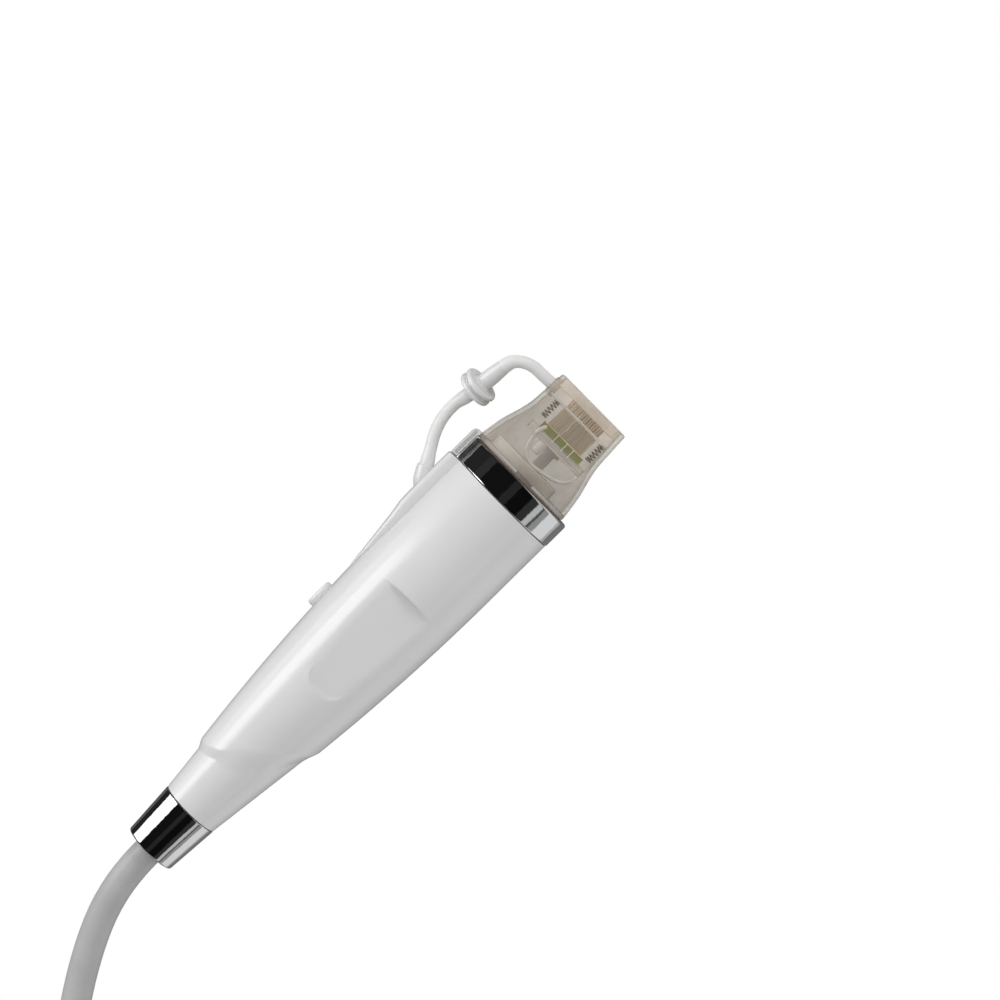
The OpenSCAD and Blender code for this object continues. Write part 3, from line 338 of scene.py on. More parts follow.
def hose(route: np.ndarray, radius: np.ndarray | float, sides: int, ref: Triple, frame: Frame = PEN) -> Patch:
    """A round tube along a route: each ring lies square to the route, and is turned by the ref direction.

    Args:
        route: stations × 3.
        radius: one radius, or one for each station.
        sides: points round the tube.
        ref: a direction that the route never runs along.
        frame: where the piece is drawn.

    Returns:
        A closed skin with flat ends.
    """
    tangent = unit(np.gradient(route, axis=0))
    first = unit(np.cross(tangent, np.array(ref, float)))
    second = np.cross(tangent, first)
    angle = around(sides)[None, :, None]
    reach = np.broadcast_to(radius, (len(route),))[:, None, None]
    grid = route[:, None] + reach * (np.cos(angle) * first[:, None] + np.sin(angle) * second[:, None])
    return loft(frame.place(grid))


def slot_outline(length: float, width: float, count: int = 24) -> np.ndarray:
    """Outline of a slot with round ends, anticlockwise, with its length along x."""
    a = np.linspace(-QUARTER_TURN, QUARTER_TURN, count)
    end = np.stack([np.cos(a), np.sin(a)], axis=-1) * width / 2
    shift = np.array([length / 2 - width / 2, 0.0])
    return np.concatenate([end + shift, -end - shift])


def squarish(half_width: np.ndarray, squareness: np.ndarray, centre: float, sides: int) -> np.ndarray:
    """Outlines of rounded squares: x = w |cos a|^(2/n), y = w |sin a|^(2/n), with n = 2 for a circle.

    Args:
        half_width: one half width for each outline.
        squareness: n of each outline.
        centre: x of the middle.
        sides: points in each outline.

    Returns:
        outlines × sides × 2.
    """
    a = (np.arange(sides) + 0.5)[None] * FULL_TURN / sides
    power = 2.0 / np.asarray(squareness, float)[:, None]
    c, s = np.cos(a), np.sin(a)
    width = np.asarray(half_width, float)[:, None]
    return np.stack([centre + width * np.sign(c) * np.abs(c) ** power, width * np.sign(s) * np.abs(s) ** power], -1)


# ---------------------------------------------------------------- pieces


def linked(name: str, data: bpy.types.ID) -> bpy.types.Object:
    """A new object of the scene that shows the data."""
    made = bpy.data.objects.new(name, data)
    bpy.context.scene.collection.objects.link(made)
    return made


def skinned(name: str, patches: list[Patch], look: Look, sharp: float) -> bpy.types.Object:
    """One object of closed skins, with its poles closed, shaded and dressed."""
    offsets = np.cumsum([0] + [len(patch.points) for patch in patches])
    faces = [[i + int(start) for i in face] for patch, start in zip(patches, offsets) for face in patch.faces]
    mesh = bpy.data.meshes.new(name)
    mesh.from_pydata(np.concatenate([patch.points for patch in patches]).tolist(), [], faces)
    made = linked(name, mesh)
    close_seams(mesh)
    shade(mesh, sharp)
    mesh.materials.append(look.material())
    return made


def add_piece(name: str, patches: list[Patch], look: Look, body: str, nodes: tuple[str, ...] = (),
              sharp: float = CRISP) -> bpy.types.Object:
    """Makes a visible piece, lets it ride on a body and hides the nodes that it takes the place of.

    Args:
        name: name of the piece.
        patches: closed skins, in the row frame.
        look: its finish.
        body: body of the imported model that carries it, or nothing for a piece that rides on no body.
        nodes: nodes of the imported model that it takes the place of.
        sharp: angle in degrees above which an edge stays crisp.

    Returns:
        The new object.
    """
    piece = skinned(name, patches, look, sharp)
    if body:
        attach(piece, body)
    if nodes:
        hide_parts(*nodes)
    LOG.info("%s rides on %s: %d faces", name, body or "two bodies", len(piece.data.polygons))
    return piece


def close_seams(mesh: bpy.types.Mesh) -> None:
    """Merges points that fall together, such as those of a pole."""
    work = bmesh.new()
    work.from_mesh(mesh)
    bmesh.ops.remove_doubles(work, verts=work.verts, dist=1e-7)
    bmesh.ops.dissolve_degenerate(work, edges=work.edges, dist=1e-8)
    bare = [edge for edge in work.edges if not edge.link_faces]
    bmesh.ops.delete(work, geom=bare, context="EDGES")
    work.to_mesh(mesh)
    work.free()


def shade(mesh: bpy.types.Mesh, sharp: float) -> None:
    """Smooth shading that stays crisp at edges above the angle sharp, in degrees."""
    mesh.shade_smooth()
    mesh.set_sharp_from_angle(angle=math.radians(sharp))


def carve(piece: bpy.types.Object, cutters: list[Patch], look: Look, sharp: float = CRISP) -> None:
    """Cuts closed skins out of a piece with an exact boolean, and keeps the result as its mesh.

    Args:
        piece: the piece to cut.
        cutters: closed skins, in the row frame.
        look: finish of the cut faces.
        sharp: angle in degrees above which an edge stays crisp.
    """
    tools = [skinned(f"cutter_{k}", [patch], look, CRISP) for k, patch in enumerate(cutters)]
    for tool in tools:
        cut = piece.modifiers.new("cut", "BOOLEAN")
        cut.operation, cut.solver, cut.object = "DIFFERENCE", "EXACT", tool
    bpy.context.view_layer.update()
    result = bpy.data.meshes.new_from_object(piece.evaluated_get(bpy.context.evaluated_depsgraph_get()))
    piece.modifiers.clear()
    old, piece.data = piece.data, result
    name = old.name
    bpy.data.meshes.remove(old)
    result.name = name
    for tool in tools:
        bpy.data.objects.remove(tool)
    shade(result, sharp)


# ---------------------------------------------------------------- finishes


class Sketch:
    """Short calls for the nodes of one material or node group."""

    def __init__(self, tree: bpy.types.NodeTree) -> None:
        """Starts on an empty tree."""
        self.tree = tree
        tree.nodes.clear()

    def add(self, kind: str, inputs: dict | None = None, **settings: object) -> bpy.types.Node:
        """Adds a node.

        Args:
            kind: Blender's name for the node's type.
            inputs: values or output sockets for the node's inputs, by name or number.
            **settings: attributes of the node.

        Returns:
            The new node.
        """
        node = self.tree.nodes.new(kind)
        for key, value in settings.items():
            setattr(node, key, value)
        for key, value in (inputs or {}).items():
            if isinstance(value, bpy.types.NodeSocket):
                self.tree.links.new(value, node.inputs[key])
            else:
                node.inputs[key].default_value = value
        return node

    def math(self, operation: str, *values: object) -> bpy.types.NodeSocket:
        """Output of a Math node for one operation on values or sockets."""
        return self.add("ShaderNodeMath", dict(enumerate(values)), operation=operation).outputs[0]

    def noise(self, place: bpy.types.NodeSocket, scale: object, **more: float) -> bpy.types.NodeSocket:
        """Output of a noise at a place; more holds its other inputs by name."""
        return self.add("ShaderNodeTexNoise", {"Vector": place, "Scale": scale, **more}).outputs[0]

    def mix(self, amount: object, first: object, second: object) -> bpy.types.NodeSocket:
        """Colour that goes from first to second with the amount."""
        return self.add("ShaderNodeMix", {0: amount, 6: first, 7: second}, data_type="RGBA").outputs[2]


def grey(value: float) -> tuple[float, float, float, float]:
    """An opaque grey."""
    return (value, value, value, 1.0)


class SharedGroup:
    """The node group that gives every finish its clouding, grain and uneven gloss."""

    NAME = "moulded_variation"
    COLOURS_IN = ("Colour", "Tint")
    VALUES_IN = ("Cloud", "Grain", "Roughness", "Spread")
    CLOUD_FROM, CLOUD_TO = 0.35, 0.65
    SMEAR = 2.7

    @classmethod
    def tree(cls) -> bpy.types.NodeTree:
        """The group, built on its first use.

        Colour moves from Colour to Tint with a slow cloud of noise, Roughness goes up and down by Spread with
        a second cloud that is SMEAR times as fine, and Height is a fine grain.
        """
        found = bpy.data.node_groups.get(cls.NAME)
        if found:
            return found
        tree = bpy.data.node_groups.new(cls.NAME, "ShaderNodeTree")
        sockets = [(name, "INPUT", "NodeSocketColor") for name in cls.COLOURS_IN]
        sockets += [(name, "INPUT", "NodeSocketFloat") for name in cls.VALUES_IN]
        sockets += [("Colour", "OUTPUT", "NodeSocketColor"), ("Roughness", "OUTPUT", "NodeSocketFloat"),
                    ("Height", "OUTPUT", "NodeSocketFloat")]
        for name, way, kind in sockets:
            tree.interface.new_socket(name, in_out=way, socket_type=kind)
        sketch = Sketch(tree)
        given = sketch.add("NodeGroupInput").outputs
        place = sketch.add("ShaderNodeTexCoord").outputs["Object"]
        cloud = sketch.noise(place, given["Cloud"], Detail=3.0, Roughness=0.55)
        smear = sketch.noise(place, sketch.math("MULTIPLY", given["Cloud"], cls.SMEAR), Detail=2.0, Distortion=0.6)
        grain = sketch.noise(place, given["Grain"], Detail=4.0, Roughness=0.7)
        amount = sketch.add("ShaderNodeMapRange", {0: cloud, 1: cls.CLOUD_FROM, 2: cls.CLOUD_TO, 3: 0.0, 4: 1.0})
        shift = sketch.math("MULTIPLY", sketch.math("SUBTRACT", smear, 0.5), given["Spread"])
        sketch.add("NodeGroupOutput", {
            "Colour": sketch.mix(amount.outputs[0], given["Colour"], given["Tint"]), "Height": grain,
            "Roughness": sketch.math("ADD", given["Roughness"], shift)})
        return tree


@dataclass(frozen=True)
class Finish:
    """A finish: colours, gloss, grain, and what its shader needs besides."""

    name: str
    colour: Triple
    tint: Triple
    roughness: float = 0.35
    spread: float = 0.08
    cloud: float = 60.0
    grain: float = 900.0
    bump: float = 0.03
    bump_depth: float = 0.0004
    metal: float = 0.0
    coat: float = 0.0
    coat_roughness: float = 0.12
    depth: float = 0.0
    depth_reach: Triple = (0.002, 0.0019, 0.0018)
    ior: float = 1.46
    film: float = 1.0
    film_edge: float = 1.0
    film_back: float = -1.0
    film_turn: float = 0.35
    lamps_pass: bool = False
    lamps_white: float = 0.8

    def material(self) -> bpy.types.Material:
        """The Blender material of this finish, built on its first use.

        Returns:
            A node material. A film of less than 1 lets the view through it, more so where it faces the eye; seen
            from behind it covers by film_back, if that is given.
        """
        found = bpy.data.materials.get(f"look_{self.name}")
        if found:
            return found
        made = bpy.data.materials.new(f"look_{self.name}")
        made.use_nodes = True
        sketch = Sketch(made.node_tree)
        group = sketch.add("ShaderNodeGroup", node_tree=SharedGroup.tree())
        for key, value in (("Colour", (*self.colour, 1.0)), ("Tint", (*self.tint, 1.0)), ("Cloud", self.cloud),
                           ("Grain", self.grain), ("Roughness", self.roughness), ("Spread", self.spread)):
            group.inputs[key].default_value = value
        bump = sketch.add("ShaderNodeBump", {"Strength": self.bump, "Distance": self.bump_depth,
                                             "Height": group.outputs["Height"]})
        shader = sketch.add("ShaderNodeBsdfPrincipled", {
            "Base Color": group.outputs["Colour"], "Roughness": group.outputs["Roughness"],
            "Normal": bump.outputs[0], "Metallic": self.metal, "Coat Weight": self.coat,
            "Coat Roughness": self.coat_roughness, "Subsurface Weight": self.depth,
            "Subsurface Radius": self.depth_reach, "Subsurface Scale": 1.0, "IOR": self.ior})
        surface = shader.outputs[0]
        if self.film < 1.0:
            facing = sketch.add("ShaderNodeLayerWeight", {"Blend": self.film_turn}).outputs["Facing"]
            alpha = sketch.add("ShaderNodeMapRange", {0: facing, 1: 0.0, 2: 1.0, 3: self.film, 4: self.film_edge})
            if self.film_back >= 0.0:
                behind = sketch.add("ShaderNodeNewGeometry").outputs["Backfacing"]
                alpha = sketch.add("ShaderNodeMix", {0: behind, 2: alpha.outputs[0], 3: self.film_back})
            sketch.tree.links.new(alpha.outputs[0], shader.inputs["Alpha"])
        if self.lamps_pass:
            pale = tuple(self.lamps_white + (1.0 - self.lamps_white) * c for c in self.colour)
            clear = sketch.add("ShaderNodeBsdfTransparent", {"Color": (*pale, 1.0)})
            lamp = sketch.add("ShaderNodeLightPath").outputs["Is Shadow Ray"]
            surface = sketch.add("ShaderNodeMixShader", {0: lamp, 1: surface, 2: clear.outputs[0]}).outputs[0]
        sketch.add("ShaderNodeOutputMaterial", {"Surface": surface})
        return made


def plain(name: str, r: float, g: float, b: float, shade_by: float = 0.94, **more: float) -> Finish:
    """A finish whose tint is its own colour, darker by the factor shade_by."""
    return Finish(name, (r, g, b), (r * shade_by, g * shade_by, b * shade_by), **more)


class Look(Enum):
    """The finishes of the pen, by what wears them."""

    HANDLE = plain("handle_white", 0.80, 0.80, 0.805, 0.985, roughness=0.2, spread=0.04, bump=0.01, coat=0.45)
    INNER_WHITE = plain("inner_white", 0.72, 0.72, 0.70, roughness=0.5, bump=0.05)
    BUTTON = plain("button_white", 0.82, 0.82, 0.82, 0.985, roughness=0.22, bump=0.01, coat=0.4)
    CHROME = plain("chrome", 0.88, 0.885, 0.895, 0.98, roughness=0.02, spread=0.015, grain=70.0, bump=0.22,
                   metal=1.0)
    SMOKED = plain("smoked_plastic", 0.66, 0.58, 0.485, 0.82, roughness=0.12, spread=0.06, cloud=170.0, bump=0.02,
                   ior=2.8, film=0.10, film_edge=0.78, film_back=0.5, lamps_pass=True)
    # Inside faces of the smoked shell: a paler copy of the smoked plastic, painted lighter to stand in for the light
    # and glints inside the cartridge
    SMOKED_INSIDE_PAINTED_LIGHT = plain("smoked_inside_painted_light", 0.96, 0.87, 0.75, 0.84, roughness=0.2, cloud=170.0, bump=0.02,
                          film=0.5, film_edge=0.8, film_back=0.03, lamps_pass=True)
    BASE = plain("smoked_base", 0.40, 0.34, 0.29, 0.8, roughness=0.16, cloud=150.0, bump=0.02, film=0.52,
                 film_edge=0.85, lamps_pass=True)
    TAB = plain("clear_tab", 0.42, 0.41, 0.39, 0.9, roughness=0.1, spread=0.06, bump=0.01, film=0.3, film_edge=0.62,
                lamps_pass=True)
    HAZE = plain("clear_moulding", 0.97, 0.95, 0.90, 0.95, roughness=0.12, spread=0.06, bump=0.02, film=0.36,
                 coat=0.6, lamps_pass=True)
    LEAD = plain("clear_lead", 1.0, 1.0, 0.99, 0.99, roughness=0.1, spread=0.05, bump=0.01, ior=2.0, film=0.95,
                 lamps_pass=True)
    FRONT = plain("front_moulding", 0.95, 0.90, 0.83, 0.9, roughness=0.2, cloud=260.0, bump=0.02, film=0.5,
                  film_edge=0.85, lamps_pass=True)
    FILTER = plain("filter_white", 0.80, 0.80, 0.80, 0.97, roughness=0.18, depth=0.1, coat=0.3, bump=0.01)
    TUBE = plain("silicone_tube", 0.85, 0.85, 0.845, 0.97, roughness=0.3, depth=0.1, cloud=140.0, bump=0.02)
    CABLE = plain("cable_jacket", 0.51, 0.51, 0.51, 0.93, roughness=0.38, cloud=90.0, bump=0.05)
    RUBBER = plain("grey_rubber", 0.20, 0.20, 0.21, 0.85, roughness=0.62, bump=0.12)
    STEM = plain("drive_stem_grey", 0.84, 0.81, 0.84, 0.9, roughness=0.12, coat=0.6, film=0.75)
    BROWN = plain("stem_bush_brown", 0.27, 0.23, 0.20, 0.85)
    BLACK = plain("black_plastic", 0.025, 0.025, 0.027, 0.8, roughness=0.42, bump=0.06)
    NYLON = plain("ivory_nylon", 0.68, 0.62, 0.50, roughness=0.45, depth=0.1)
    BOARD = plain("circuit_board", 0.35, 0.40, 0.15, 0.88, roughness=0.33, coat=0.3, cloud=220.0)
    STEEL = plain("steel", 0.56, 0.56, 0.57, 0.9, roughness=0.25, spread=0.12, metal=1.0)
    SPRING = plain("spring_wire", 0.66, 0.65, 0.63, 0.55, roughness=0.16, cloud=900.0, metal=1.0, coat=1.0)
    BRONZE = plain("bronze_bush", 0.50, 0.33, 0.18, 0.85, roughness=0.32, metal=1.0)
    GOLD = plain("gold_contact", 0.80, 0.58, 0.26, 0.92, roughness=0.22, metal=1.0)
    GILT = plain("gilt_edge", 0.95, 0.80, 0.50, 0.9, roughness=0.25, coat=0.5)
    PALE = plain("pale_insert", 0.98, 0.97, 0.93, 0.97)
    ALUMINIUM = plain("anodised_aluminium", 0.42, 0.43, 0.45, roughness=0.38, metal=1.0, bump=0.05)
    CAN = plain("motor_can", 0.30, 0.30, 0.31, 0.9, roughness=0.34, metal=1.0)
    PLUG = plain("plug_metal", 0.62, 0.62, 0.63, 0.95, roughness=0.24, spread=0.1, metal=1.0)
    NEEDLE = plain("needle_steel", 0.78, 0.64, 0.51, 0.85, roughness=0.3, metal=0.2)
    PIN = plain("fine_pin", 0.98, 0.90, 0.79, 0.9, roughness=0.3, coat=0.4)
    TIE = plain("tie_strap", 0.05, 0.05, 0.055, 0.8, roughness=0.7, cloud=400.0, grain=2600.0, bump=0.4)

    def material(self) -> bpy.types.Material:
        """The Blender material of this finish."""
        return self.value.material()


# What the nodes wear that no piece of this script takes the place of
NODE_LOOKS: dict[Look, tuple[str, ...]] = {
    Look.INNER_WHITE: ("socket_core", "switch_plunger"),
    Look.GOLD: ("contact_pins", "contact_board", "plug_contacts"),
    Look.BRONZE: ("pusher_bush",),
    Look.STEEL: ("vacuum_elbow", "chassis_screws", "guide_rails", "lead_screw", "pusher_rod"),
    Look.TUBE: ("vacuum_line",),
    Look.ALUMINIUM: ("drive_chassis", "cable_clamp"),
    Look.CAN: ("drive_motor",),
    Look.BOARD: ("control_board", "button_board", "needle_board"),
    Look.BLACK: ("board_parts", "tact_switch", "plug_insert"),
    Look.RUBBER: ("button_gasket", "spigot_seal", "plug_boot"),
    Look.CABLE: ("lead_bundle",),
    Look.NYLON: ("screw_nut",),
    Look.BROWN: ("stem_bush",),
    Look.FRONT: ("front_plate",),
    Look.NEEDLE: ("needles",),
    Look.STEM: ("drive_stem",),
    Look.TIE: ("cable_tie",),
    Look.PLUG: ("plug_shell", "plug_nut"),
}


# ---------------------------------------------------------------- camera and studio


def pose(x: np.ndarray, y: np.ndarray, z: np.ndarray, spot: np.ndarray) -> Matrix:
    """World matrix of an object from its three directions and its place."""
    matrix = np.eye(4)
    matrix[:3] = np.stack([x, y, z, spot], axis=1)
    return Matrix(matrix.tolist())


@dataclass
class PhotoCamera:
    """The camera: how far it stands, how it looks, and where the seat of the pen falls in the frame."""

    distance: float = 1.102
    focal_pixels: float = 3250.0
    pitch: float = -2.5
    roll: float = 0.35
    seat_pixel: tuple[float, float] = (444.7, 557.8)
    frame_pixels: float = 1000.0
    sensor: float = 36.0
    clip: tuple[float, float] = (0.05, 30.0)

    def build(self) -> bpy.types.Object:
        """Makes the scene's camera: it looks along +Y, and the seat's pixel fixes where it stands."""
        pitch, roll = math.radians(self.pitch), math.radians(self.roll)
        back = np.array([0.0, -math.cos(pitch), -math.sin(pitch)])
        up = np.array([0.0, -math.sin(pitch), math.cos(pitch)])
        right = np.array([1.0, 0.0, 0.0])
        rolled_right = math.cos(roll) * right + math.sin(roll) * up
        rolled_up = -math.sin(roll) * right + math.cos(roll) * up
        half = self.frame_pixels / 2.0
        across = (self.seat_pixel[0] - half) / self.focal_pixels * self.distance
        above = -(self.seat_pixel[1] - half) / self.focal_pixels * self.distance
        spot = back * self.distance - rolled_right * across - rolled_up * above
        data = bpy.data.cameras.new("photo_camera")
        data.sensor_width, data.lens = self.sensor, self.sensor * self.focal_pixels / self.frame_pixels
        data.clip_start, data.clip_end = self.clip
        camera = linked("photo_camera", data)
        camera.matrix_world = pose(rolled_right, rolled_up, back, spot)
        bpy.context.scene.camera = camera
        return camera


@dataclass
class Lamp:
    """A soft rectangular lamp: its turn round the pen's axis, its place along it, and its size in metres.

    At turn 0 it stands behind the pen, at 90 up to the left, at 180 on the camera's side.
    """

    name: str
    turn: float
    along: float
    distance: float
    length: float
    width: float
    radiance: float
    in_gloss: bool = True

    def build(self) -> bpy.types.Object:
        """Makes the lamp, with its long side along the pen: its power is π · radiance · length · width."""
        turn = math.radians(self.turn)
        axis = np.array([DIAGONAL, 0.0, DIAGONAL])
        out = np.array([-DIAGONAL * math.sin(turn), math.cos(turn), DIAGONAL * math.sin(turn)])
        data = bpy.data.lights.new(self.name, "AREA")
        data.shape, data.size, data.size_y = "RECTANGLE", self.length, self.width
        data.energy = self.radiance * HALF_TURN * self.length * self.width
        lamp = linked(self.name, data)
        lamp.matrix_world = pose(axis, np.cross(out, axis), out, axis * self.along + out * self.distance)
        lamp.visible_camera = False
        lamp.visible_glossy = self.in_gloss
        return lamp


@dataclass
class Studio:
    """Pale floor, soft lamps and the room that polished metal shows."""

    floor_radius: float = 1.2
    floor_sides: int = 96
    floor_tones: tuple[float, float] = (0.86, 0.9)
    floor_grain: float = 30.0
    # How far out the floor starts to fade, and how white it is to the eye in its middle
    fade_from: float = 0.25
    fade_least: float = 0.35
    ambient: float = 0.545
    softness: float = 0.8
    lamps: tuple[Lamp, ...] = (
        Lamp("broad_softbox", 106.0, -0.18, 0.5, 0.31, 0.49, 1.25),
        Lamp("strip_softbox", 113.0, -0.19, 0.49, 0.31, 0.20, 2.6),
        Lamp("low_fill", 240.0, 0.5, 0.9, 0.6, 0.5, 0.6, in_gloss=False),
        Lamp("front_fill", 142.0, 0.8, 0.6, 0.5, 0.5, 5.0, in_gloss=False),
    )
    # Where each card of the room starts, in degrees round the pen's axis, and how bright it is
    room: Rows = (
        (0, 0.10), (46, 0.018), (100, 0.028), (119, 0.006), (169, 0.02), (185, 0.004), (214, 0.03), (231, 0.48),
        (243, 0.08), (249, 0.27), (262, 0.68), (297, 0.42), (307, 0.17), (345, 0.10))

    def build(self, floor_z: float) -> None:
        """Makes the world, the lamps and the floor under the lowest point."""
        self._world()
        for lamp in self.lamps:
            lamp.build()
        self._floor(floor_z)

    def _world(self) -> None:
        """White to the eye and through clear parts, an even glow on matt ones, and the room in polished ones.

        The turn of a direction d round the pen's axis is the angle whose sine part is d along the button side
        and whose cosine part is d along +Y.
        """
        world = bpy.data.worlds.new("studio")
        world.use_nodes = True
        bpy.context.scene.world = world
        sketch = Sketch(world.node_tree)
        parts = sketch.add("ShaderNodeSeparateXYZ", {0: sketch.add("ShaderNodeTexCoord").outputs["Generated"]})
        up_left = sketch.math("MULTIPLY", sketch.math("SUBTRACT", parts.outputs[2], parts.outputs[0]), DIAGONAL)
        turn = sketch.math("ARCTAN2", up_left, parts.outputs[1])
        share = sketch.math("FRACT", sketch.math("DIVIDE", turn, FULL_TURN))
        ramp = sketch.add("ShaderNodeValToRGB", {0: share})
        stops = ramp.color_ramp.elements
        while len(stops) > 1:
            stops.remove(stops[-1])
        stops[0].position, stops[0].color = 0.0, grey(self.room[0][1])
        for (_, before), (angle, value) in zip(self.room, self.room[1:]):
            stops.new((angle - self.softness) / 360.0).color = grey(before)
            stops.new((angle + self.softness) / 360.0).color = grey(value)
        path = sketch.add("ShaderNodeLightPath").outputs
        direct = sketch.math("LESS_THAN", sketch.math("ADD", path["Glossy Depth"], path["Diffuse Depth"]), 0.5)
        through = sketch.math("MULTIPLY", path["Is Transmission Ray"], direct)
        seen = sketch.math("MAXIMUM", path["Is Camera Ray"], through)
        mirrored = sketch.math("GREATER_THAN", path["Glossy Depth"], 0.5)
        lit = sketch.mix(mirrored, grey(self.ambient), ramp.outputs[0])
        colour = sketch.mix(seen, lit, grey(1.0))
        glow = sketch.add("ShaderNodeBackground", {"Color": colour, "Strength": 1.0})
        sketch.add("ShaderNodeOutputWorld", {"Surface": glow.outputs[0]})

    def _floor(self, floor_z: float) -> None:
        """A round pale floor that takes shadows in its middle and fades to white at its rim."""
        angle = around(self.floor_sides)
        rim = np.stack([self.floor_radius * np.cos(angle), self.floor_radius * np.sin(angle),
                        np.full(self.floor_sides, floor_z)], axis=-1)
        mesh = bpy.data.meshes.new("pale_floor")
        mesh.from_pydata(rim.tolist(), [], [list(range(self.floor_sides))])
        floor = linked("pale_floor", mesh)
        made = bpy.data.materials.new("pale_floor")
        made.use_nodes = True
        sketch = Sketch(made.node_tree)
        place = sketch.add("ShaderNodeTexCoord").outputs["Object"]
        flat = sketch.add("ShaderNodeVectorMath", {0: place, 1: (1.0, 1.0, 0.0)}, operation="MULTIPLY").outputs[0]
        reach = sketch.add("ShaderNodeVectorMath", {0: flat}, operation="LENGTH").outputs["Value"]
        fade = sketch.add("ShaderNodeMapRange", {0: reach, 1: self.fade_from, 2: self.floor_radius * 0.95,
                                                 3: self.fade_least, 4: 1.0},
                          interpolation_type="SMOOTHSTEP").outputs[0]
        dark, pale = (grey(tone) for tone in self.floor_tones)
        tone = sketch.mix(sketch.noise(place, self.floor_grain), dark, pale)
        matt = sketch.add("ShaderNodeBsdfDiffuse", {"Color": tone}).outputs[0]
        glow = sketch.add("ShaderNodeEmission", {"Color": grey(1.0), "Strength": 1.0}).outputs[0]
        eye = sketch.math("MULTIPLY", sketch.add("ShaderNodeLightPath").outputs["Is Camera Ray"], fade)
        mix = sketch.add("ShaderNodeMixShader", {0: eye, 1: matt, 2: glow}).outputs[0]
        sketch.add("ShaderNodeOutputMaterial", {"Surface": mix})
        mesh.materials.append(made)
        floor.visible_glossy = False
        floor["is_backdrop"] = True


# ---------------------------------------------------------------- cords


@dataclass
class Cable:
    """The cable: it hangs from the tail, and its spare length is folded into a hank below the view."""

    diameter: float = 10.4
    sides: int = 28
    spacing: float = 4.0
    exit: Triple = (-99.42, 0.0, -99.42)
    drop: tuple[Triple, ...] = (
        (-105, 0, -105.4), (-110.5, 0, -112.5), (-115.4, 0, -121), (-119.4, -0.1, -131), (-122.6, -0.7, -142),
        (-124.9, -2.2, -153), (-126.8, -5.2, -164), (-128.2, -9.3, -176), (-128.9, -13.4, -189),
        (-129, -16.1, -202))
    hank_x: float = -97.0
    hank_y: float = -16.8
    hank_z: float = -296.0
    bend: float = 32.0
    half: float = 80.0
    waist: float = 14.0
    flat: float = 15.0
    pitch: float = 11.2
    loops: int = 3
    steps: int = 24
    tail_steps: int = 9
    tail_turn: float = 35.0
    tail_end: float = -22.0
    plug_y: float = 9.0

    def route(self) -> np.ndarray:
        """The points of the cable's centreline, from the tail to the plug, in millimetres of the row frame.

        Each loop of the hank is walked in four quarters: down one side, round the lower bend, up the other
        side, where it steps over by pitch, and round the upper bend.
        """
        turn = np.arange(self.steps * self.loops) / self.steps
        whole, quarter = np.floor(turn), 4.0 * (turn - np.floor(turn))
        fall = self.half * (1.0 - 2.0 * quarter)
        rise = self.half * (2.0 * (quarter - 2.0) - 1.0)
        low, high = HALF_TURN * (quarter - 1.0), HALF_TURN * (quarter - 3.0)
        part = [quarter < 1.0, quarter < 2.0, quarter < 3.0]
        x = np.select(part, [-self._width(fall), -self.bend * np.cos(low), self._width(rise)],
                      self.bend * np.cos(high))
        z = np.select(part, [fall, -self.half - self.bend * np.sin(low), rise], self.half + self.bend * np.sin(high))
        layer = whole + np.select([quarter < 2.0, quarter < 3.0], [0.0 * quarter, self._ease(quarter - 2.0)], 1.0)
        hank = np.stack([self.hank_x + x, self.hank_y + self.pitch * layer, self.hank_z + z], axis=-1)
        tail_z = self.half + (self.tail_end - self.half) * np.linspace(0.0, 1.0, self.tail_steps)
        inward = self.bend * np.where(tail_z < 0, 0.0, self._ease(np.maximum(tail_z, 0.0) / self.half))
        back = self._ease(np.maximum(0.0, (self.tail_turn - tail_z) / (self.tail_turn - self.tail_end)))
        end_y = self.hank_y + self.pitch * self.loops
        tail = np.stack([self.hank_x - inward, end_y + (self.plug_y - end_y) * back, self.hank_z + tail_z], axis=-1)
        return np.concatenate([[self.exit], self.drop, hank, tail]).astype(float)

    @staticmethod
    def _ease(t: np.ndarray) -> np.ndarray:
        """Half a cosine wave from 0 to 1."""
        return (1.0 - np.cos(HALF_TURN * t)) / 2.0

    def _width(self, height: np.ndarray) -> np.ndarray:
        """Half width of a loop at a height: the waist in its middle, easing out to the bend."""
        t = np.clip((np.abs(height) - self.flat) / (self.half - self.flat), 0.0, 1.0)
        return self.waist + (self.bend - self.waist) * self._ease(t)

    def build(self, plug: list[object]) -> bpy.types.Object:
        """Makes the cable in one piece.

        Args:
            plug: the pieces on it; not used.

        Returns:
            The cable.
        """
        line = smooth_route(self.route(), self.spacing)
        skin = hose(line, self.diameter / 2, self.sides, (0.0, 1.0, 0.0), ROW)
        piece = add_piece("cable", [skin], Look.CABLE, "handle", ("cable_drop", "cable_hank"))
        tuple(c * MM for c in self.exit)
        return piece


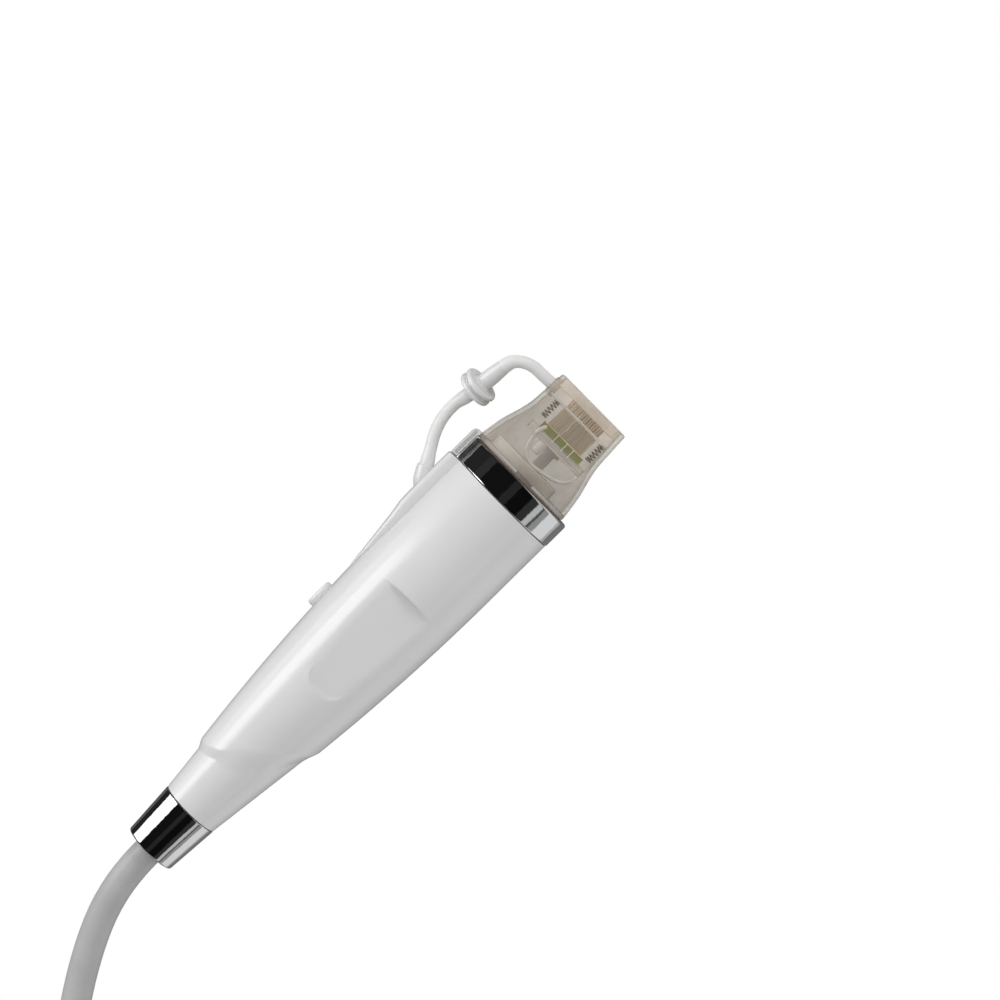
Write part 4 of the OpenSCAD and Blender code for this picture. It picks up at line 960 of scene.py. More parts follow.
@dataclass
class VacuumTube:
    """The white tube: from the port, through the filter, and into the top of the cartridge."""

    diameter: float = 4.2
    sides: int = 32
    spacing: float = 0.6
    # How much wider the tube is where it is pushed on, and how far from there it goes on and ends
    flare: float = 0.4
    flare_from: float = 0.6
    flare_to: float = 5.6
    port: tuple[Triple, ...] = ((25.255, 0, 15.33), (26.8, 0, 17.9))
    rear: tuple[Triple, ...] = (
        (29.5, -0.3, 22.4), (32.1, -1, 26.8), (33.8, -1.9, 31), (34.6, -2.6, 35.3), (34.6, -2.6, 39.6))
    filter_at: Triple = (33.2, 0.4, 48.7)
    filter_dir: Triple = (-0.1064, 0.3420, 0.9337)
    disc_radius: float = 6.6
    disc_half: float = 2.2
    stub_rear: float = 2.6
    stub_front: float = 10.0
    stub_radius: float = 2.9
    stub_taper: float = 0.42
    groove_half: float = 0.55
    groove_depth: float = 0.75
    front: tuple[Triple, ...] = (
        (30.7, 5.5, 63.4), (28, 5.6, 65.7), (24.64, 5.21, 66.89), (20.84, 4.79, 67.08), (16.44, 4.3, 67.3),
        (14.14, 4.3, 67.3))

    def _through(self) -> list[np.ndarray]:
        """The ends of the filter's two stubs, with its middle between them."""
        middle, along = np.array(self.filter_at), unit(np.array(self.filter_dir))
        return [middle - along * (self.disc_half + self.stub_rear), middle,
                middle + along * (self.disc_half + self.stub_front)]

    def build(self) -> list[bpy.types.Object]:
        """Makes the tube and the two halves of the filter.

        Returns:
            The tube, the rear half and the front half.
        """
        through = self._through()
        points = np.concatenate([self.port, self.rear, through, self.front]).astype(float)
        line = smooth_route(points, self.spacing)
        joints = np.stack([self.port[1], through[0], through[-1]])
        away = np.linalg.norm(line[:, None] - joints[None], axis=2).min(axis=1)
        radius = self.diameter / 2 + self.flare * (1.0 - smooth_step(away, self.flare_from, self.flare_to))
        skin = hose(line, radius, self.sides, (0.0, 1.0, 0.0))
        tube = add_piece("vacuum_tube", [skin], Look.TUBE, "",
                         ("vacuum_tube_rear", "vacuum_tube_front"))
        halves = self._filter()
        start, end = through[-1], np.array(self.front[-2])
        tuple(PEN.place(start))
        tuple(PEN.place(end))
        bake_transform(tube)
        row_line = PEN.place(line)
        tuple(PEN.place(np.array(self.port[1])))
        return [tube, *halves]

    def _filter(self) -> list[bpy.types.Object]:
        """Both halves of the filter: flanged discs with a groove between them, and a tapered stub on each."""
        frame = Frame(self.filter_at, self.filter_dir, (1.0, 0.0, 0.0))
        r, h, s, thin = self.disc_radius, self.disc_half, self.stub_radius, self.stub_radius - self.stub_taper
        inner, rear_end, front_end = r - self.groove_depth, -h - self.stub_rear, h + self.stub_front
        gap, groove, soft = 0.02, self.groove_half, 0.15
        rear = ((0, rear_end, 0), (thin, rear_end, soft), (s, -h - 0.5, soft), (s + 0.5, -h, soft),
                (r - 0.8, -h, soft), (r - 0.15, -h + 0.2, soft), (r, -h + 0.5, soft), (r, -groove - 0.2, soft),
                (inner, -groove, soft), (inner, -gap, soft), (0, -gap, 0))
        front = ((0, gap, 0), (inner, gap, soft), (inner, groove, soft), (r, groove + 0.2, soft),
                 (r, h - 0.5, soft), (r - 0.15, h - 0.2, soft), (r - 0.8, h, soft), (s + 0.8, h, soft),
                 (s + 0.15, h + 0.7, soft), (s, h + self.stub_front * 0.5, soft), (thin, front_end, soft),
                 (0, front_end, 0))
        return [add_piece(f"{node}_half", [turned(outline(rows), 96, frame)], Look.FILTER, "handle",
                          (node,))
                for node, rows in (("filter_rear", rear), ("filter_front", front))]


# ---------------------------------------------------------------- handle


@dataclass
class Handle:
    """The two white halves of the handle, its chrome trim, button, port hood and gland.

    Its profiles are rows of (radius, height, reach of the round).
    """

    barrel: float = 21.1
    curve: float = 780.0
    wall: float = 2.2
    neck_front: float = 10.9
    neck_end: float = 16.385
    ring_z: float = 27.0
    ferrule_z: float = -121.4
    step_end_z: float = -74.05
    # The moulded step: its arc, its half width, and how much wider it fades in the middle of each side
    arc_x: float = 32.0
    arc_z: float = -50.1
    arc_r: float = 55.9
    step_half: float = 1.9
    step_fade: float = 1.5
    fade_far: tuple[float, float] = (-15.0, -8.0)
    fade_near: tuple[float, float] = (2.0, 8.5)
    step_radius: float = 15.5
    step_eased: float = 0.6
    step_straight: float = 0.4
    step_slope: float = 0.62
    # The stations that are bent to the step's arc: the most in the middle, and none at both ends
    bend_middle: float = -94.0
    bend_ends: tuple[float, float] = (-120.5, -63.5)
    # The grip flat: its rear wall and front wall are (reach, slope), and soft is the blend of rear, front and rim
    grip_back: float = -61.5
    grip_len: float = 46.0
    grip_width: float = 12.9
    grip_tilt: float = 1.24
    grip_lean: float = 4.7
    grip_x: float = -1.5
    grip_straight: float = 2.6
    grip_corner: float = 4.6
    grip_rear: tuple[float, float] = (2.2, 0.75)
    grip_front: tuple[float, float] = (2.4, 2.5)
    grip_front_lift: float = 1.0
    grip_soft: Triple = (0.4, 0.7, 0.9)
    # Stations of the skin between ferrule and ring, as (first, last, count)
    spans: tuple[tuple[float, float, int], ...] = (
        (-121.0, -97.4, 22), (-96.9, -91.1, 30), (-90.6, -62.8, 26), (-62.2, -57.4, 20), (-56.6, -20.5, 34),
        (-19.9, -14.6, 22))
    front_start: float = -13.8
    spigot_r: float = 9.2
    spigot_len: float = 9.5
    bore_r: float = 6.5
    bore_spare: float = 0.6
    neck_lag: float = 3.0
    seam_angle: float = 0.16 / 15.0
    seam_drop: float = 0.13
    rear_drop: float = 0.1
    front_drop: float = 0.22
    half_gap: float = 0.035
    button_z: float = -38.6
    button_len: float = 9.8
    button_w: float = 6.0
    button_play: float = 0.6
    cap_low: float = 16.545
    cap_top: float = 22.195
    cap_roll: float = 0.95
    # The faint dish of the cap: (how far in, how deep)
    cap_dish: Rows = ((1.25, 0.03), (1.6, 0.07), (2.0, 0.1), (2.5, 0.12))
    flange_reach: float = 2.4
    flange_thick: float = 0.5
    vacuum_z: float = 13.1
    vacuum_r: float = 1.7
    ferrule: Rows = (
        (9.25, -121.55, 0.05), (10.62, -121.55, 0.3), (10.95, -121.9, 0.35), (9.72, -140.7, 0.22),
        (9.5, -141.02, 0.2), (8.9, -141.2, 0.25), (6.7, -141.2, 0.25), (6.4, -140.4, 0.2), (7.45, -139.0, 0.2),
        (7.45, -131.1, 0.0), (9.25, -131.1, 0.0))
    ring: Rows = (
        (19.7, 27.1, 0.05), (20.95, 27.1, 0.25), (21.3, 27.4, 0.3), (21.3, 36.2, 0.45), (20.75, 36.8, 0.45),
        (19.7, 36.8, 0.1))
    gland: Rows = (
        (0, -140.6, 0), (5.35, -140.6, 0.25), (5.9, -140.85, 0.25), (6.25, -140.5, 0.25), (6.2, -138.6, 0.25),
        (7.4, -138.5, 0.25), (7.4, -131.2, 0.25), (6.4, -131.0, 0.25), (6.4, -124.9, 0.25), (5.3, -124.9, 0.25),
        (5.3, -131.2, 0.25), (0, -131.2, 0))
    port_mouth: Triple = (26.8, 0.0, 17.9)
    port_angle: float = 31.0
    boss: Rows = (
        (0, -9.0, 0), (2.3, -9.0, 0.2), (3.3, -5.6, 1.0), (3.25, -2.4, 1.0), (3.1, -0.35, 0.3),
        (2.85, -0.05, 0.12), (2.6, -0.1, 0.1), (2.5, -0.4, 0.15), (2.5, -3.0, 0.2), (0, -3.0, 0))
    # The hood: height of its ridge above the axis at each z, and its width there as a share of hood_half
    hood_half: float = 6.6
    hood_square: float = 4.5
    hood_sink: float = 0.04
    hood_least: float = 0.02
    hood_ridge: Rows = (
        (-24, 20.95), (-12, 22.4), (-3, 23.5), (3, 24.5), (8, 24.7), (25.8, 24.7), (26.25, 24.62), (26.6, 24.42),
        (26.8, 24.1), (26.85, 23.8))
    hood_width: Rows = ((-24, 0.42), (-18, 0.72), (-8, 0.93), (0, 1.0), (26.3, 1.0), (26.85, 0.965))

    def barrel_at(self, z: np.ndarray) -> np.ndarray:
        """Radius of the barrel: full in front of the seat, and less by z² / 2R behind it."""
        return self.barrel - np.where(z < 0, z * z / (2 * self.curve), 0.0)

    def neck_at(self, z: np.ndarray) -> np.ndarray:
        """Radius of the straight cone of the neck."""
        return self.neck_front + (self.neck_end - self.neck_front) * (z - self.ferrule_z) / (
            self.step_end_z - self.ferrule_z)

    def step_at(self, x: np.ndarray) -> np.ndarray:
        """Where the moulded step lies: an arc about (arc_x, arc_z) as seen from the side."""
        return self.arc_z - np.sqrt(self.arc_r**2 - (x - self.arc_x) ** 2)

    def grip_floor(self, z: np.ndarray, x: np.ndarray) -> np.ndarray:
        """Height of a grip flat above the axis: a leaning floor with a soft wall at both ends.

        Args:
            z: stations along the pen.
            x: how far towards the button side; the rear wall is round at both corners.

        Returns:
            The height at every point.
        """
        radius = float(self.barrel_at(np.array(self.grip_back)))
        base = math.sqrt(radius**2 - (self.grip_width / 2) ** 2)
        corner = self.grip_corner
        aside = np.clip(np.abs(x - self.grip_x) - self.grip_straight, 0.0, 0.98 * corner)
        along = z - self.grip_back
        from_rear = along - (corner - np.sqrt(corner**2 - aside**2))
        floor = base + along * math.tan(math.radians(self.grip_tilt))
        rear_wall = base + (self.grip_rear[0] - from_rear) * self.grip_rear[1]
        front_wall = (base + (along - self.grip_len + self.grip_front[0]) * self.grip_front[1]
                      + self.grip_front_lift)
        lean = x * math.tan(math.radians(self.grip_lean))
        return soft_max(soft_max(floor, rear_wall, self.grip_soft[0]), front_wall, self.grip_soft[1]) + lean

    def outer(self, z: np.ndarray, angle: np.ndarray) -> tuple[np.ndarray, np.ndarray, np.ndarray]:
        """Outer skin of one half.

        The radius goes from neck to barrel over the step, which follows its arc and is 2 step_half wide across
        it: along the pen that is r / sqrt(r² − (x − arc_x)²) times as long, and step_fade more in the middle of
        each side, where the step is faint. The grip flat cuts the side softly.

        Args:
            z: stations before they are bent to the step's arc.
            angle: angles from the button side, 0 to π.

        Returns:
            x, y and z of the skin.
        """
        middle, (rear, front) = self.bend_middle, self.bend_ends
        reach = np.minimum(smooth_step(z, rear, middle), 1.0 - smooth_step(z, middle, front))
        side_x = self.step_radius * np.cos(angle)
        step_z = self.step_at(side_x)
        bent = z + (step_z - middle) * reach
        neck, barrel = self.neck_at(bent), self.barrel_at(bent)
        half = self.step_half * self.arc_r / (self.arc_z - step_z)
        half *= 1.0 + self.step_fade * smooth_step(side_x, *self.fade_far) * (
            1.0 - smooth_step(side_x, *self.fade_near))
        over = (z - middle) / half
        lift = (self.step_eased * smooth_step(over, -1.0, 1.0)
                + self.step_straight * np.clip(0.5 + over * self.step_slope, 0, 1))
        radius = neck + (barrel - neck) * lift
        x, y = radius * np.cos(angle), radius * np.sin(angle)
        return x, soft_min(y, self.grip_floor(bent, x), self.grip_soft[2]), bent

    def _half(self, side: int) -> Patch:
        """One half of the handle as rings that run out round the skin and back along the inside."""
        tail, front = self.ferrule_z, self.ring_z
        z = np.concatenate([
            [tail - self.spigot_len, tail - self.spigot_len + 0.4, tail, tail, tail + 0.12],
            *(np.linspace(*span) for span in self.spans),
            np.linspace(self.front_start, front - 0.35, 18), [front - 0.08, front]])
        spigot = (np.arange(len(z)) < 3)[:, None]
        seam = self.seam_angle
        arc = np.concatenate([[0.0, seam], np.linspace(seam * 2.5, HALF_TURN - seam * 2.5, 170),
                              [HALF_TURN - seam, HALF_TURN]])
        zz, aa = np.meshgrid(z, arc, indexing="ij")
        x, y, bent = self.outer(np.maximum(zz, tail), aa)
        drop = np.zeros_like(zz)
        drop[:, [0, -1]] = self.seam_drop
        drop[3] += self.rear_drop
        drop[-1] += self.front_drop
        scale = 1.0 - drop / np.hypot(x, y)
        x = np.where(spigot, self.spigot_r * np.cos(aa), x * scale)
        y = np.where(spigot, self.spigot_r * np.sin(aa), y * scale)
        bent = np.where(spigot, zz, bent)
        zi, ai = np.meshgrid(z, np.linspace(HALF_TURN, 0.0, 60), indexing="ij")
        neck_bore = np.minimum(self.neck_at(zi - self.neck_lag), self.neck_at(zi)) - self.wall
        bore = np.where(zi < self.step_end_z, neck_bore, self.barrel_at(zi) - self.wall)
        bore = np.where(zi <= tail + 1e-6, self.bore_r, np.maximum(bore, self.bore_r + self.bore_spare))
        xi, yi = bore * np.cos(ai), bore * np.sin(ai)
        yi = np.minimum(yi, np.where(zi > tail, self.grip_floor(zi, xi) - self.wall, yi))
        ring_x = np.concatenate([x, xi], 1)
        ring_y = np.maximum(np.concatenate([y, yi], 1), 0.0) + self.half_gap
        ring_z = np.concatenate([bent, zi], 1)
        return loft(PEN.place(np.stack([ring_x, side * ring_y, ring_z], axis=-1)))

    @staticmethod
    def _from_button_side(z: float) -> Frame:
        """A frame at z on the axis that looks out to the button side, with its x along the pen."""
        return Frame((0.0, 0.0, z), (1.0, 0.0, 0.0), (0.0, 0.0, 1.0))

    def build(self) -> None:
        """Makes the halves and everything that is fixed to them outside."""
        self._halves()
        self._chrome()
        self._gland()
        self._button()
        self._hood()

    def _halves(self) -> None:
        """Both halves, with the button's slot and the vacuum hole cut through them."""
        slot = slot_outline(self.button_len + self.button_play, self.button_w + self.button_play)
        slot_cut = slab(slot, 12.0, 26.0, 0.01, self._from_button_side(self.button_z))
        hole = turned(rectangle(0, 14, self.vacuum_r, 26), 32, self._from_button_side(self.vacuum_z))
        for name, node, side in (("handle_half_left", "left_shell", 1), ("handle_half_right", "right_shell", -1)):
            piece = add_piece(name, [self._half(side)], Look.HANDLE, "handle", (node,))
            carve(piece, [slot_cut, hole], Look.HANDLE)

    def _chrome(self) -> None:
        """Ferrule and head ring, each a turned sleeve with softly rolled rims."""
        for name, node, rows in (("chrome_ferrule", "tail_ferrule", self.ferrule),
                                 ("chrome_head_ring", "head_ring", self.ring)):
            add_piece(name, [turned(outline(rows, 6), 224)], Look.CHROME, "handle", (node,), 40.0)

    def _gland(self) -> None:
        """Rubber gland that the cable leaves by, with a soft lip round the cable."""
        add_piece("rubber_gland", [turned(outline(self.gland), 96)], Look.RUBBER, "handle",
                  ("cable_gland",))

    def _button(self) -> None:
        """The button: a slot-shaped cap with a rolled edge and a faint dish, on a flange under the wall."""
        frame = self._from_button_side(self.button_z)
        low, top, roll, sides = self.cap_low + self.flange_thick, self.cap_top, self.cap_roll, 30
        flange = slab(slot_outline(self.button_len + self.flange_reach, self.button_w + self.flange_reach, sides),
                      self.cap_low, low, 0.1, frame)
        turn = np.linspace(0.0, QUARTER_TURN, 7)
        dish_in, dish_down = np.array(self.cap_dish).T
        inset = np.concatenate([[0.0, 0.0], roll * (1 - np.cos(turn)), dish_in])
        height = np.concatenate([[low, top - 1.0], top - roll + roll * np.sin(turn), top - dish_down])
        rings = np.stack([np.column_stack([slot_outline(self.button_len - 2 * d, self.button_w - 2 * d, sides),
                                           np.full(2 * sides, h)]) for d, h in zip(inset, height)])
        add_piece("soft_button", [flange, loft(frame.place(rings))], Look.BUTTON, "button",
                  ("button_cap",), 50.0)

    def _hood(self) -> None:
        """The port's hood: a low ridge on the barrel with a slanted boss that the tube goes into.

        Its section is y = −w |cos t|^(2/n), x = foot + height · sin(t)^(2/n), with n = hood_square.
        """
        z = np.concatenate([np.linspace(-24.0, 6.0, 26), np.linspace(7.0, 25.2, 16), [25.8, 26.25, 26.6, 26.8, 26.85]])
        top = read_off(self.hood_ridge, z)[:, None]
        half = self.hood_half * read_off(self.hood_width, z)[:, None]
        t = np.linspace(0.0, HALF_TURN, 49)
        power = 2 / self.hood_square
        y = half * (-np.sign(np.cos(t)) * np.abs(np.cos(t)) ** power)[None]
        foot = np.sqrt(self.barrel_at(z)[:, None] ** 2 - y**2) + self.hood_sink
        over = foot + np.maximum(top - foot, self.hood_least) * (np.sin(t) ** power)[None]
        back = slice(-2, 0, -1)
        grid = np.stack([np.concatenate([over, foot[:, back]], 1), np.concatenate([y, y[:, back]], 1),
                         np.broadcast_to(z[:, None], (len(z), 2 * len(t) - 2))], axis=-1)
        hood = add_piece("port_hood", [loft(PEN.place(grid))], Look.HANDLE, "handle",
                         ("port_housing",), 40.0)
        lean = math.radians(self.port_angle)
        frame = Frame(self.port_mouth, (math.sin(lean), 0.0, math.cos(lean)), (0.0, 1.0, 0.0))
        add_piece("port_boss", [turned(outline(self.boss, 5), 96, frame)], Look.HANDLE, "handle",
                  ("port_housing",), 40.0)
        carve(hood, [slab(rectangle(21.4, -4.2, 23.15, 4.2), 19.4, 28.0, 0.01)], Look.HANDLE, 40.0)


# ---------------------------------------------------------------- cartridge


@dataclass
class Cartridge:
    """The translucent needle cartridge: base with key tab, squarish head, and what shows inside it.

    Its profiles are rows of (radius, height, reach of the round), and those of the tab are (x, z, reach).
    """

    centre: float = 1.3
    # The base stands off by centre outside these two radii, and not at all inside them
    centre_span: tuple[float, float] = (17.6, 18.6)
    base: Rows = (
        (3.65, 29.2, 0.2), (3.65, 38.8, 0.2), (20.0, 38.8, 0.35), (20.0, 37.1, 0.35), (17.5, 37.1, 0.1),
        (17.5, 31.15, 0.1), (16.7, 31.15, 0.05), (16.7, 29.65, 0.05), (17.5, 29.65, 0.2), (17.5, 27.8, 0.4),
        (15.1, 27.8, 0.2), (15.1, 37.1, 0.2), (6.5, 37.1, 0.2), (6.5, 29.2, 0.2))
    tab: Rows = ((18.6, 37.2, 0.1), (21.6, 37.2, 0.5), (21.6, 27.1, 0.15), (24.2, 27.1, 0.4), (24.2, 38.8, 2.2),
                 (18.6, 38.8, 0.1))
    tab_hollow: Rows = ((22.35, 27.9, 0.2), (23.45, 27.9, 0.2), (23.45, 38.0, 1.0), (22.35, 38.0, 0.2))
    # Half widths of the tab, its hollow and its tongue
    tab_half: float = 6.1
    hollow_half: float = 5.2
    tongue_half: float = 4.0
    collar_x: float = 3.2
    collar: Rows = ((13.1, 38.6, 0.2), (13.9, 38.6, 0.2), (13.7, 42.4, 0.2), (13.2, 42.4, 0.2))
    bead: Triple = (13.45, 42.5, 0.24)
    # Stations of the shell: (z, half width, squareness)
    stations: Rows = (
        (38.8, 20.0, 2.0), (43.1, 19.35, 2.05), (47.3, 18.6, 2.2), (50.8, 17.6, 2.8), (53.8, 16.7, 3.6),
        (56.9, 15.95, 4.6), (64.3, 15.3, 5.4), (72.3, 14.8, 6.0))
    shell_sides: int = 144
    shell_low: float = 38.84
    shell_wall: float = 1.5
    tip_z: float = 72.3
    lip_z: float = 71.9
    lip_rise: float = 0.4
    nipple: tuple[float, float] = (4.3, 67.3)
    nipple_top: float = 16.44
    nipple_floor: float = 14.14
    nipple_radii: tuple[float, float] = (2.3, 3.4)
    spring_at: tuple[float, float] = (10.7, 6.0)
    spring_low: float = 57.4
    spring_high: float = 64.6
    spring_radius: float = 0.95
    wire_radius: float = 0.19
    turns: float = 6.5
    stroke: float = 4.0
    plate_z: float = 65.0
    plate_half: float = 0.4
    plate_gap: float = 0.12
    plate_edge: float = 0.3
    plate_slot: tuple[float, float] = (15.6, 0.7)
    needle_y: float = 6.65
    carrier_z: float = 51.3
    rail_z: float = 52.2
    carrier_top: float = 54.28
    carrier_half: tuple[float, float] = (12.2, 8.6)
    rail_inset: float = 1.1
    pin_span: float = 7.4
    pin_count: int = 24
    pin_y: float = 7.7
    pin_ends: tuple[float, float] = (56.6, 64.5)
    pin_radius: float = 0.13
    clip_x: tuple[float, ...] = (2.6, -1.5, -4.6)
    clip_half: float = 0.17
    strand_ends: tuple[float, float] = (57.0, 66.6)
    strand_x: float = 2.1
    strand_sway: float = 0.28
    strand_radius: float = 0.2
    cap_at: tuple[float, float] = (4.3, 5.6)
    cap: Rows = ((0, 46.6, 0), (0.9, 46.6, 0.4), (1.6, 47.3, 0.4), (1.75, 48.6, 0.4), (1.75, 51.25, 0.4),
                 (0, 51.25, 0))
    loop_radius: float = 0.7
    loop: tuple[Triple, ...] = (
        (8.3, 7, 51.5), (8.2, 7, 49.3), (7.2, 7, 46.2), (5.2, 7, 44.1), (1.9, 7, 43.2), (-2.6, 7, 43.8),
        (-6.6, 7, 44.8), (-9.7, 7, 46.4), (-11.3, 7, 48.9), (-11.8, 7, 51.5))
    loop_end: tuple[Triple, ...] = ((8.3, 7.6, 51.0), (8.6, 9.2, 52.4), (8.3, 9.7, 54.2), (7.5, 9.5, 55.9))

    def build(self) -> None:
        """Makes every piece of the cartridge that has its own shape here."""
        self._base()
        self._shell()
        self._springs()
        self._loop()
        self._plate()
        self._carrier()
        self._pins()
        self._board_trim()

    def _base(self) -> None:
        """Base: flange, spigot and stem guide turned as one, and the key tab that bridges the head ring."""
        loop = outline(self.base, 5)
        flange = turned(loop, 192, PEN, self.centre * smooth_step(loop[:, 0], *self.centre_span))
        side_on = Frame((0.0, 0.0, 0.0), (0.0, -1.0, 0.0), (1.0, 0.0, 0.0))
        tongue = soften(rectangle(21.6, 20.0, 23.0, 27.2), 0.3)
        tab = [slab(outline(self.tab, 7), -self.tab_half, self.tab_half, 0.35, side_on),
               slab(outline(self.tab_hollow, 5), -self.hollow_half, self.hollow_half, 0.2, side_on).inside_out(),
               slab(tongue, -self.tongue_half, self.tongue_half, 0.25, side_on)]
        offset = Frame((self.collar_x, 0.0, 0.0))
        collar = turned(outline(self.collar), 128, offset)
        radius, height, thick = self.bead
        t = around(12)
        bead = turned(np.stack([radius + thick * np.cos(t), height + thick * np.sin(t)], axis=1), 128, offset)
        for name, skins, look in (("clear_base", [flange], Look.BASE), ("clear_key_tab", tab, Look.TAB),
                                  ("clear_base_collar", [collar], Look.HAZE),
                                  ("clear_collar_bead", [bead], Look.LEAD)):
            add_piece(name, skins, look, "cartridge", ("cartridge_base",))

    def _outlines(self, z: np.ndarray, inset: float, sides: int) -> np.ndarray:
        """Rings of the shell at heights z: half width and squareness run smoothly between the stations."""
        table = np.array(self.stations)
        at, value = table[:, 0], table[:, 1:]
        slopes = np.gradient(value, at, axis=0)
        k = np.clip(np.searchsorted(at, z, side="right") - 1, 0, len(at) - 2)
        step = (at[k + 1] - at[k])[:, None]
        here = cubic((z - at[k])[:, None] / step, value[k], step * slopes[k], value[k + 1], step * slopes[k + 1])
        flat = squarish(here[:, 0] - inset, here[:, 1], self.centre, sides)
        return np.concatenate([flat, np.broadcast_to(z[:, None, None], (len(z), sides, 1))], axis=-1)

    def _shell(self) -> None:
        """Shell: outer rings up to a rounded lip and inner rings back down, with the nipple's boss inside."""
        sides, half_wall = self.shell_sides, self.shell_wall / 2
        up = np.linspace(self.shell_low, self.lip_z, 64)
        rings = [self._outlines(up, 0.0, sides)]
        for a in np.linspace(0.15, HALF_TURN - 0.15, 7):
            ring = self._outlines(np.array([self.tip_z]), half_wall - half_wall * math.cos(a), sides)
            ring[..., 2] = self.lip_z + self.lip_rise * math.sin(a)
            rings.append(ring)
        painted_inside_from = sum(len(ring) for ring in rings) * sides
        rings.append(self._outlines(up[::-1], self.shell_wall, sides))
        body = loft(PEN.place(np.concatenate(rings)), closed=True)
        y, z = self.nipple
        top, low, (bore, wide) = self.nipple_top, self.nipple_floor, self.nipple_radii
        boss = np.array([[bore, low], [wide, low - 0.6], [wide, top - 1.2], [wide - 0.3, top + 0.35],
                         [bore, top + 0.35]])
        frame = Frame((0.0, y, z), (1.0, 0.0, 0.0), (0.0, 1.0, 0.0))
        piece = add_piece("smoked_shell", [body, turned(soften(boss, 0.25), 64, frame)], Look.SMOKED, "cartridge",
                          ("cartridge_shell",), 40.0)
        # The inner rings' faces get the paler inside finish: painted light that lifts the inside of the cartridge
        inside = np.zeros(len(piece.data.polygons), dtype=np.int32)
        inside[painted_inside_from:painted_inside_from + (len(up) - 1) * sides] = 1
        piece.data.materials.append(Look.SMOKED_INSIDE_PAINTED_LIGHT.material())
        piece.data.polygons.foreach_set("material_index", inside)

    def _squash(self, piece: bpy.types.Object, low: float, high: float) -> None:
        """Gives a piece its own copy of its mesh."""
        tuple(PEN.place(np.array([0.0, 0.0, high])))
        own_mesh(piece)

    def _springs(self) -> None:
        """Four return springs: helices whose pitch closes up at both ends."""
        t = np.linspace(0.0, 1.0, int(self.turns * 22))
        turn = FULL_TURN * self.turns * t
        height = smooth_step(t, -0.12, 1.12)
        height = (height - height[0]) / (height[-1] - height[0])
        low, high = self.spring_low + self.wire_radius, self.spring_high - self.wire_radius
        coil = np.stack([self.spring_radius * np.cos(turn), self.spring_radius * np.sin(turn),
                         low + (high - low) * height], axis=-1)
        spots = [(a * self.spring_at[0], b * self.spring_at[1], 0.0) for a in (-1, 1) for b in (-1, 1)]
        skins = [hose(coil + np.array(spot), self.wire_radius, 8, (0.0, 0.0, 1.0)) for spot in spots]
        piece = add_piece("return_spring_coils", skins, Look.SPRING, "cartridge", ("return_springs",))
        self._squash(piece, self.spring_low, self.spring_high)

    def _loop(self) -> None:
        """The clear lead loop behind the needle carrier."""
        line = smooth_route(np.array(self.loop, float), 0.35)
        add_piece("clear_lead_loop", [hose(line, self.loop_radius, 20, (0.0, 1.0, 0.0))], Look.LEAD, "needle_head",
                  ("lead_loop",))

    def _plate(self) -> None:
        """Guide plate across the shell, with an edge that follows the shell's inside, slots, and a pale line."""
        t = np.linspace(0.0, HALF_TURN, 9)
        z = self.plate_z - self.plate_half * np.cos(t)
        inset = self.shell_wall + self.plate_gap + self.plate_edge * (1 - np.sin(t))
        rings = np.concatenate([self._outlines(np.array([h]), d, 96) for h, d in zip(z, inset)])
        piece = add_piece("clear_guide_plate", [loft(PEN.place(rings))], Look.HAZE, "cartridge",
                          ("guide_plate",), 50.0)
        rows = (*np.linspace(-self.needle_y, self.needle_y, 8), -self.pin_y, self.pin_y)
        slot = slot_outline(*self.plate_slot)
        cuts = [slab(slot + np.array([0.0, y]), self.plate_z - 1.0, self.plate_z + 1.0, 0.01) for y in rows]
        carve(piece, cuts, Look.HAZE, 50.0)
        line = slab(rectangle(-9.8, 8.5, 8.2, 8.9), 64.45, 64.75, 0.05)
        add_piece("guide_plate_rim", [line], Look.PALE, "cartridge")

    def _carrier(self) -> None:
        """Clear carrier block under the needle board: a plate with a narrower rail on it."""
        x, y = self.carrier_half
        block = soften(rectangle(-x, -y, x, y), 1.6, 7)
        y -= self.rail_inset
        rail = soften(rectangle(-x, -y, x, y), 1.2, 6)
        add_piece("clear_carrier", [slab(block, self.carrier_z, self.rail_z, 0.35),
                                    slab(rail, self.rail_z, self.carrier_top, 0.4)],
                  Look.HAZE, "needle_head", ("needle_carrier",), 50.0)

    def _pins(self) -> None:
        """The fine pins on both sides of the needles, in one row each."""
        low, high = self.pin_ends
        runs = [np.array([[x, side * self.pin_y, low], [x, side * self.pin_y, high]])
                for x in np.linspace(-self.pin_span, self.pin_span, self.pin_count) for side in (-1, 1)]
        add_piece("fine_pins", [hose(run, self.pin_radius, 6, (0.0, 1.0, 0.0)) for run in runs], Look.PIN,
                  "needle_head")

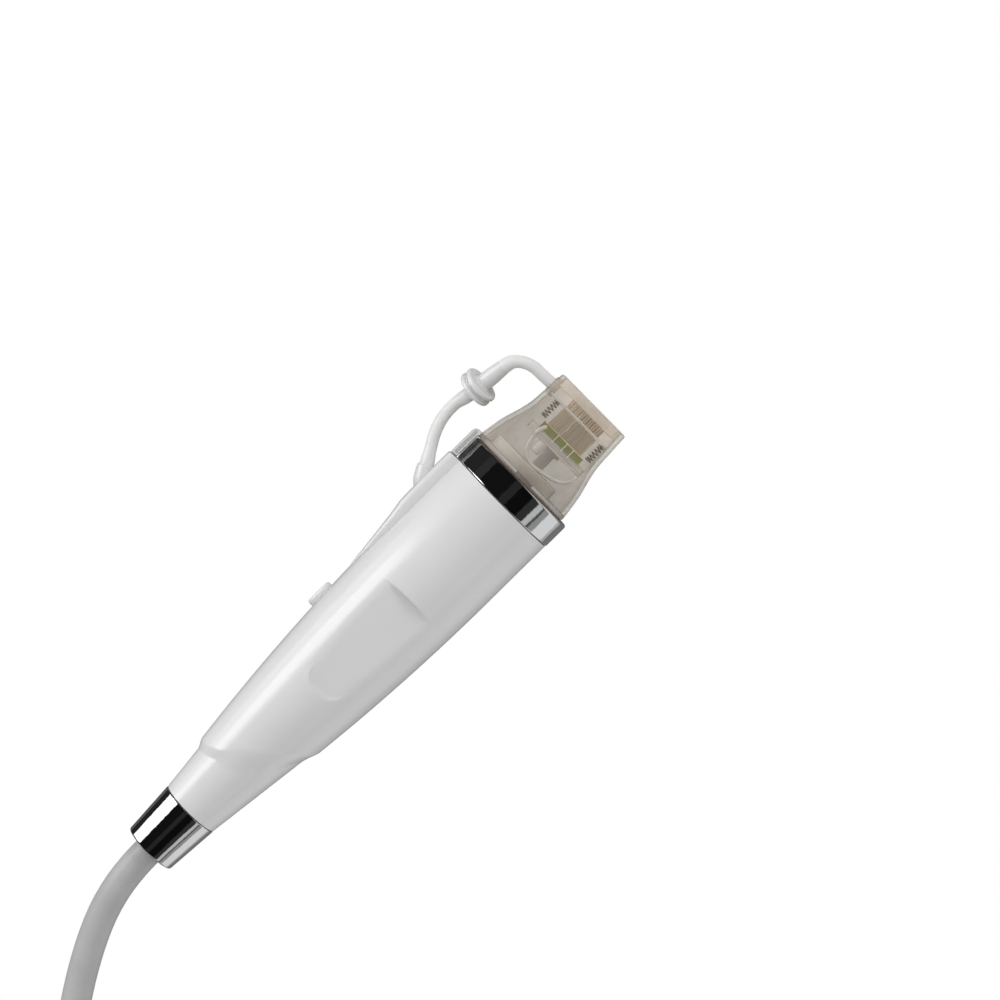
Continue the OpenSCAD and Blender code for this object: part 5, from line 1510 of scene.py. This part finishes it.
    def _board_trim(self) -> None:
        """The small parts on the front of the board: clips, loose strand, gilt strip and the end of the lead."""
        clips = [slab(rectangle(x - self.clip_half, 8.35, x + self.clip_half, 8.95), 53.4, 57.0, 0.05)
                 for x in self.clip_x]
        add_piece("board_clips", clips, Look.PALE, "needle_head")
        low, high = self.strand_ends
        z = np.linspace(low, high, 40)
        x = self.strand_x + self.strand_sway * np.sin((z - low) * 1.5) * np.exp(-((z - low - 3.0) / 3.0) ** 2)
        thread = np.stack([x, np.full(len(z), self.pin_y + 0.35), z], axis=-1)
        strand = add_piece("loose_strand", [hose(thread, self.strand_radius, 8, (0.0, 1.0, 0.0))], Look.PALE,
                           "cartridge")
        self._squash(strand, low, high)
        strip = slab(rectangle(-8.8, 8.3, 8.8, 8.9), 56.6, 57.05, 0.05)
        add_piece("board_strip", [strip], Look.GILT, "needle_head")
        dome = turned(outline(self.cap), 48, Frame((*self.cap_at, 0.0)))
        end = hose(smooth_route(np.array(self.loop_end), 0.3), self.loop_radius, 20, (1.0, 0.0, 0.0))
        add_piece("clear_lead_cap", [dome, end], Look.LEAD, "needle_head")


# ---------------------------------------------------------------- the whole pen


def dress_nodes(frame: dict) -> None:
    """Gives every CAD node that stays in view its finish.
    """
    for look, nodes in NODE_LOOKS.items():
        for node in nodes:
            mesh = frame["nodes"][node].data
            mesh.materials.clear()
            mesh.materials.append(look.material())


def corners() -> list[list[float]]:
    """The shown object's box as plain lists of numbers."""
    return [[float(c) for c in corner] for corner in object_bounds()]


def main() -> None:
    """Builds the scene: camera and cords first, then the pen from its tail to its tip, then the studio."""
    logging.basicConfig(level=logging.INFO, format="%(name)s: %(message)s")
    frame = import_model()
    cad_box = corners()
    PhotoCamera().build()
    plug = [frame["nodes"][name] for name in
            ("cable_tie", "plug_boot", "plug_shell", "plug_nut", "plug_insert", "plug_contacts")]
    Cable().build(plug)
    VacuumTube().build()
    Handle().build()
    Cartridge().build()
    dress_nodes(frame)
    Studio().build(cad_box[0][2] - FLOOR_GAP)
    bpy.context.scene.view_settings.view_transform = "Standard"


if __name__ == "__main__":
    main()
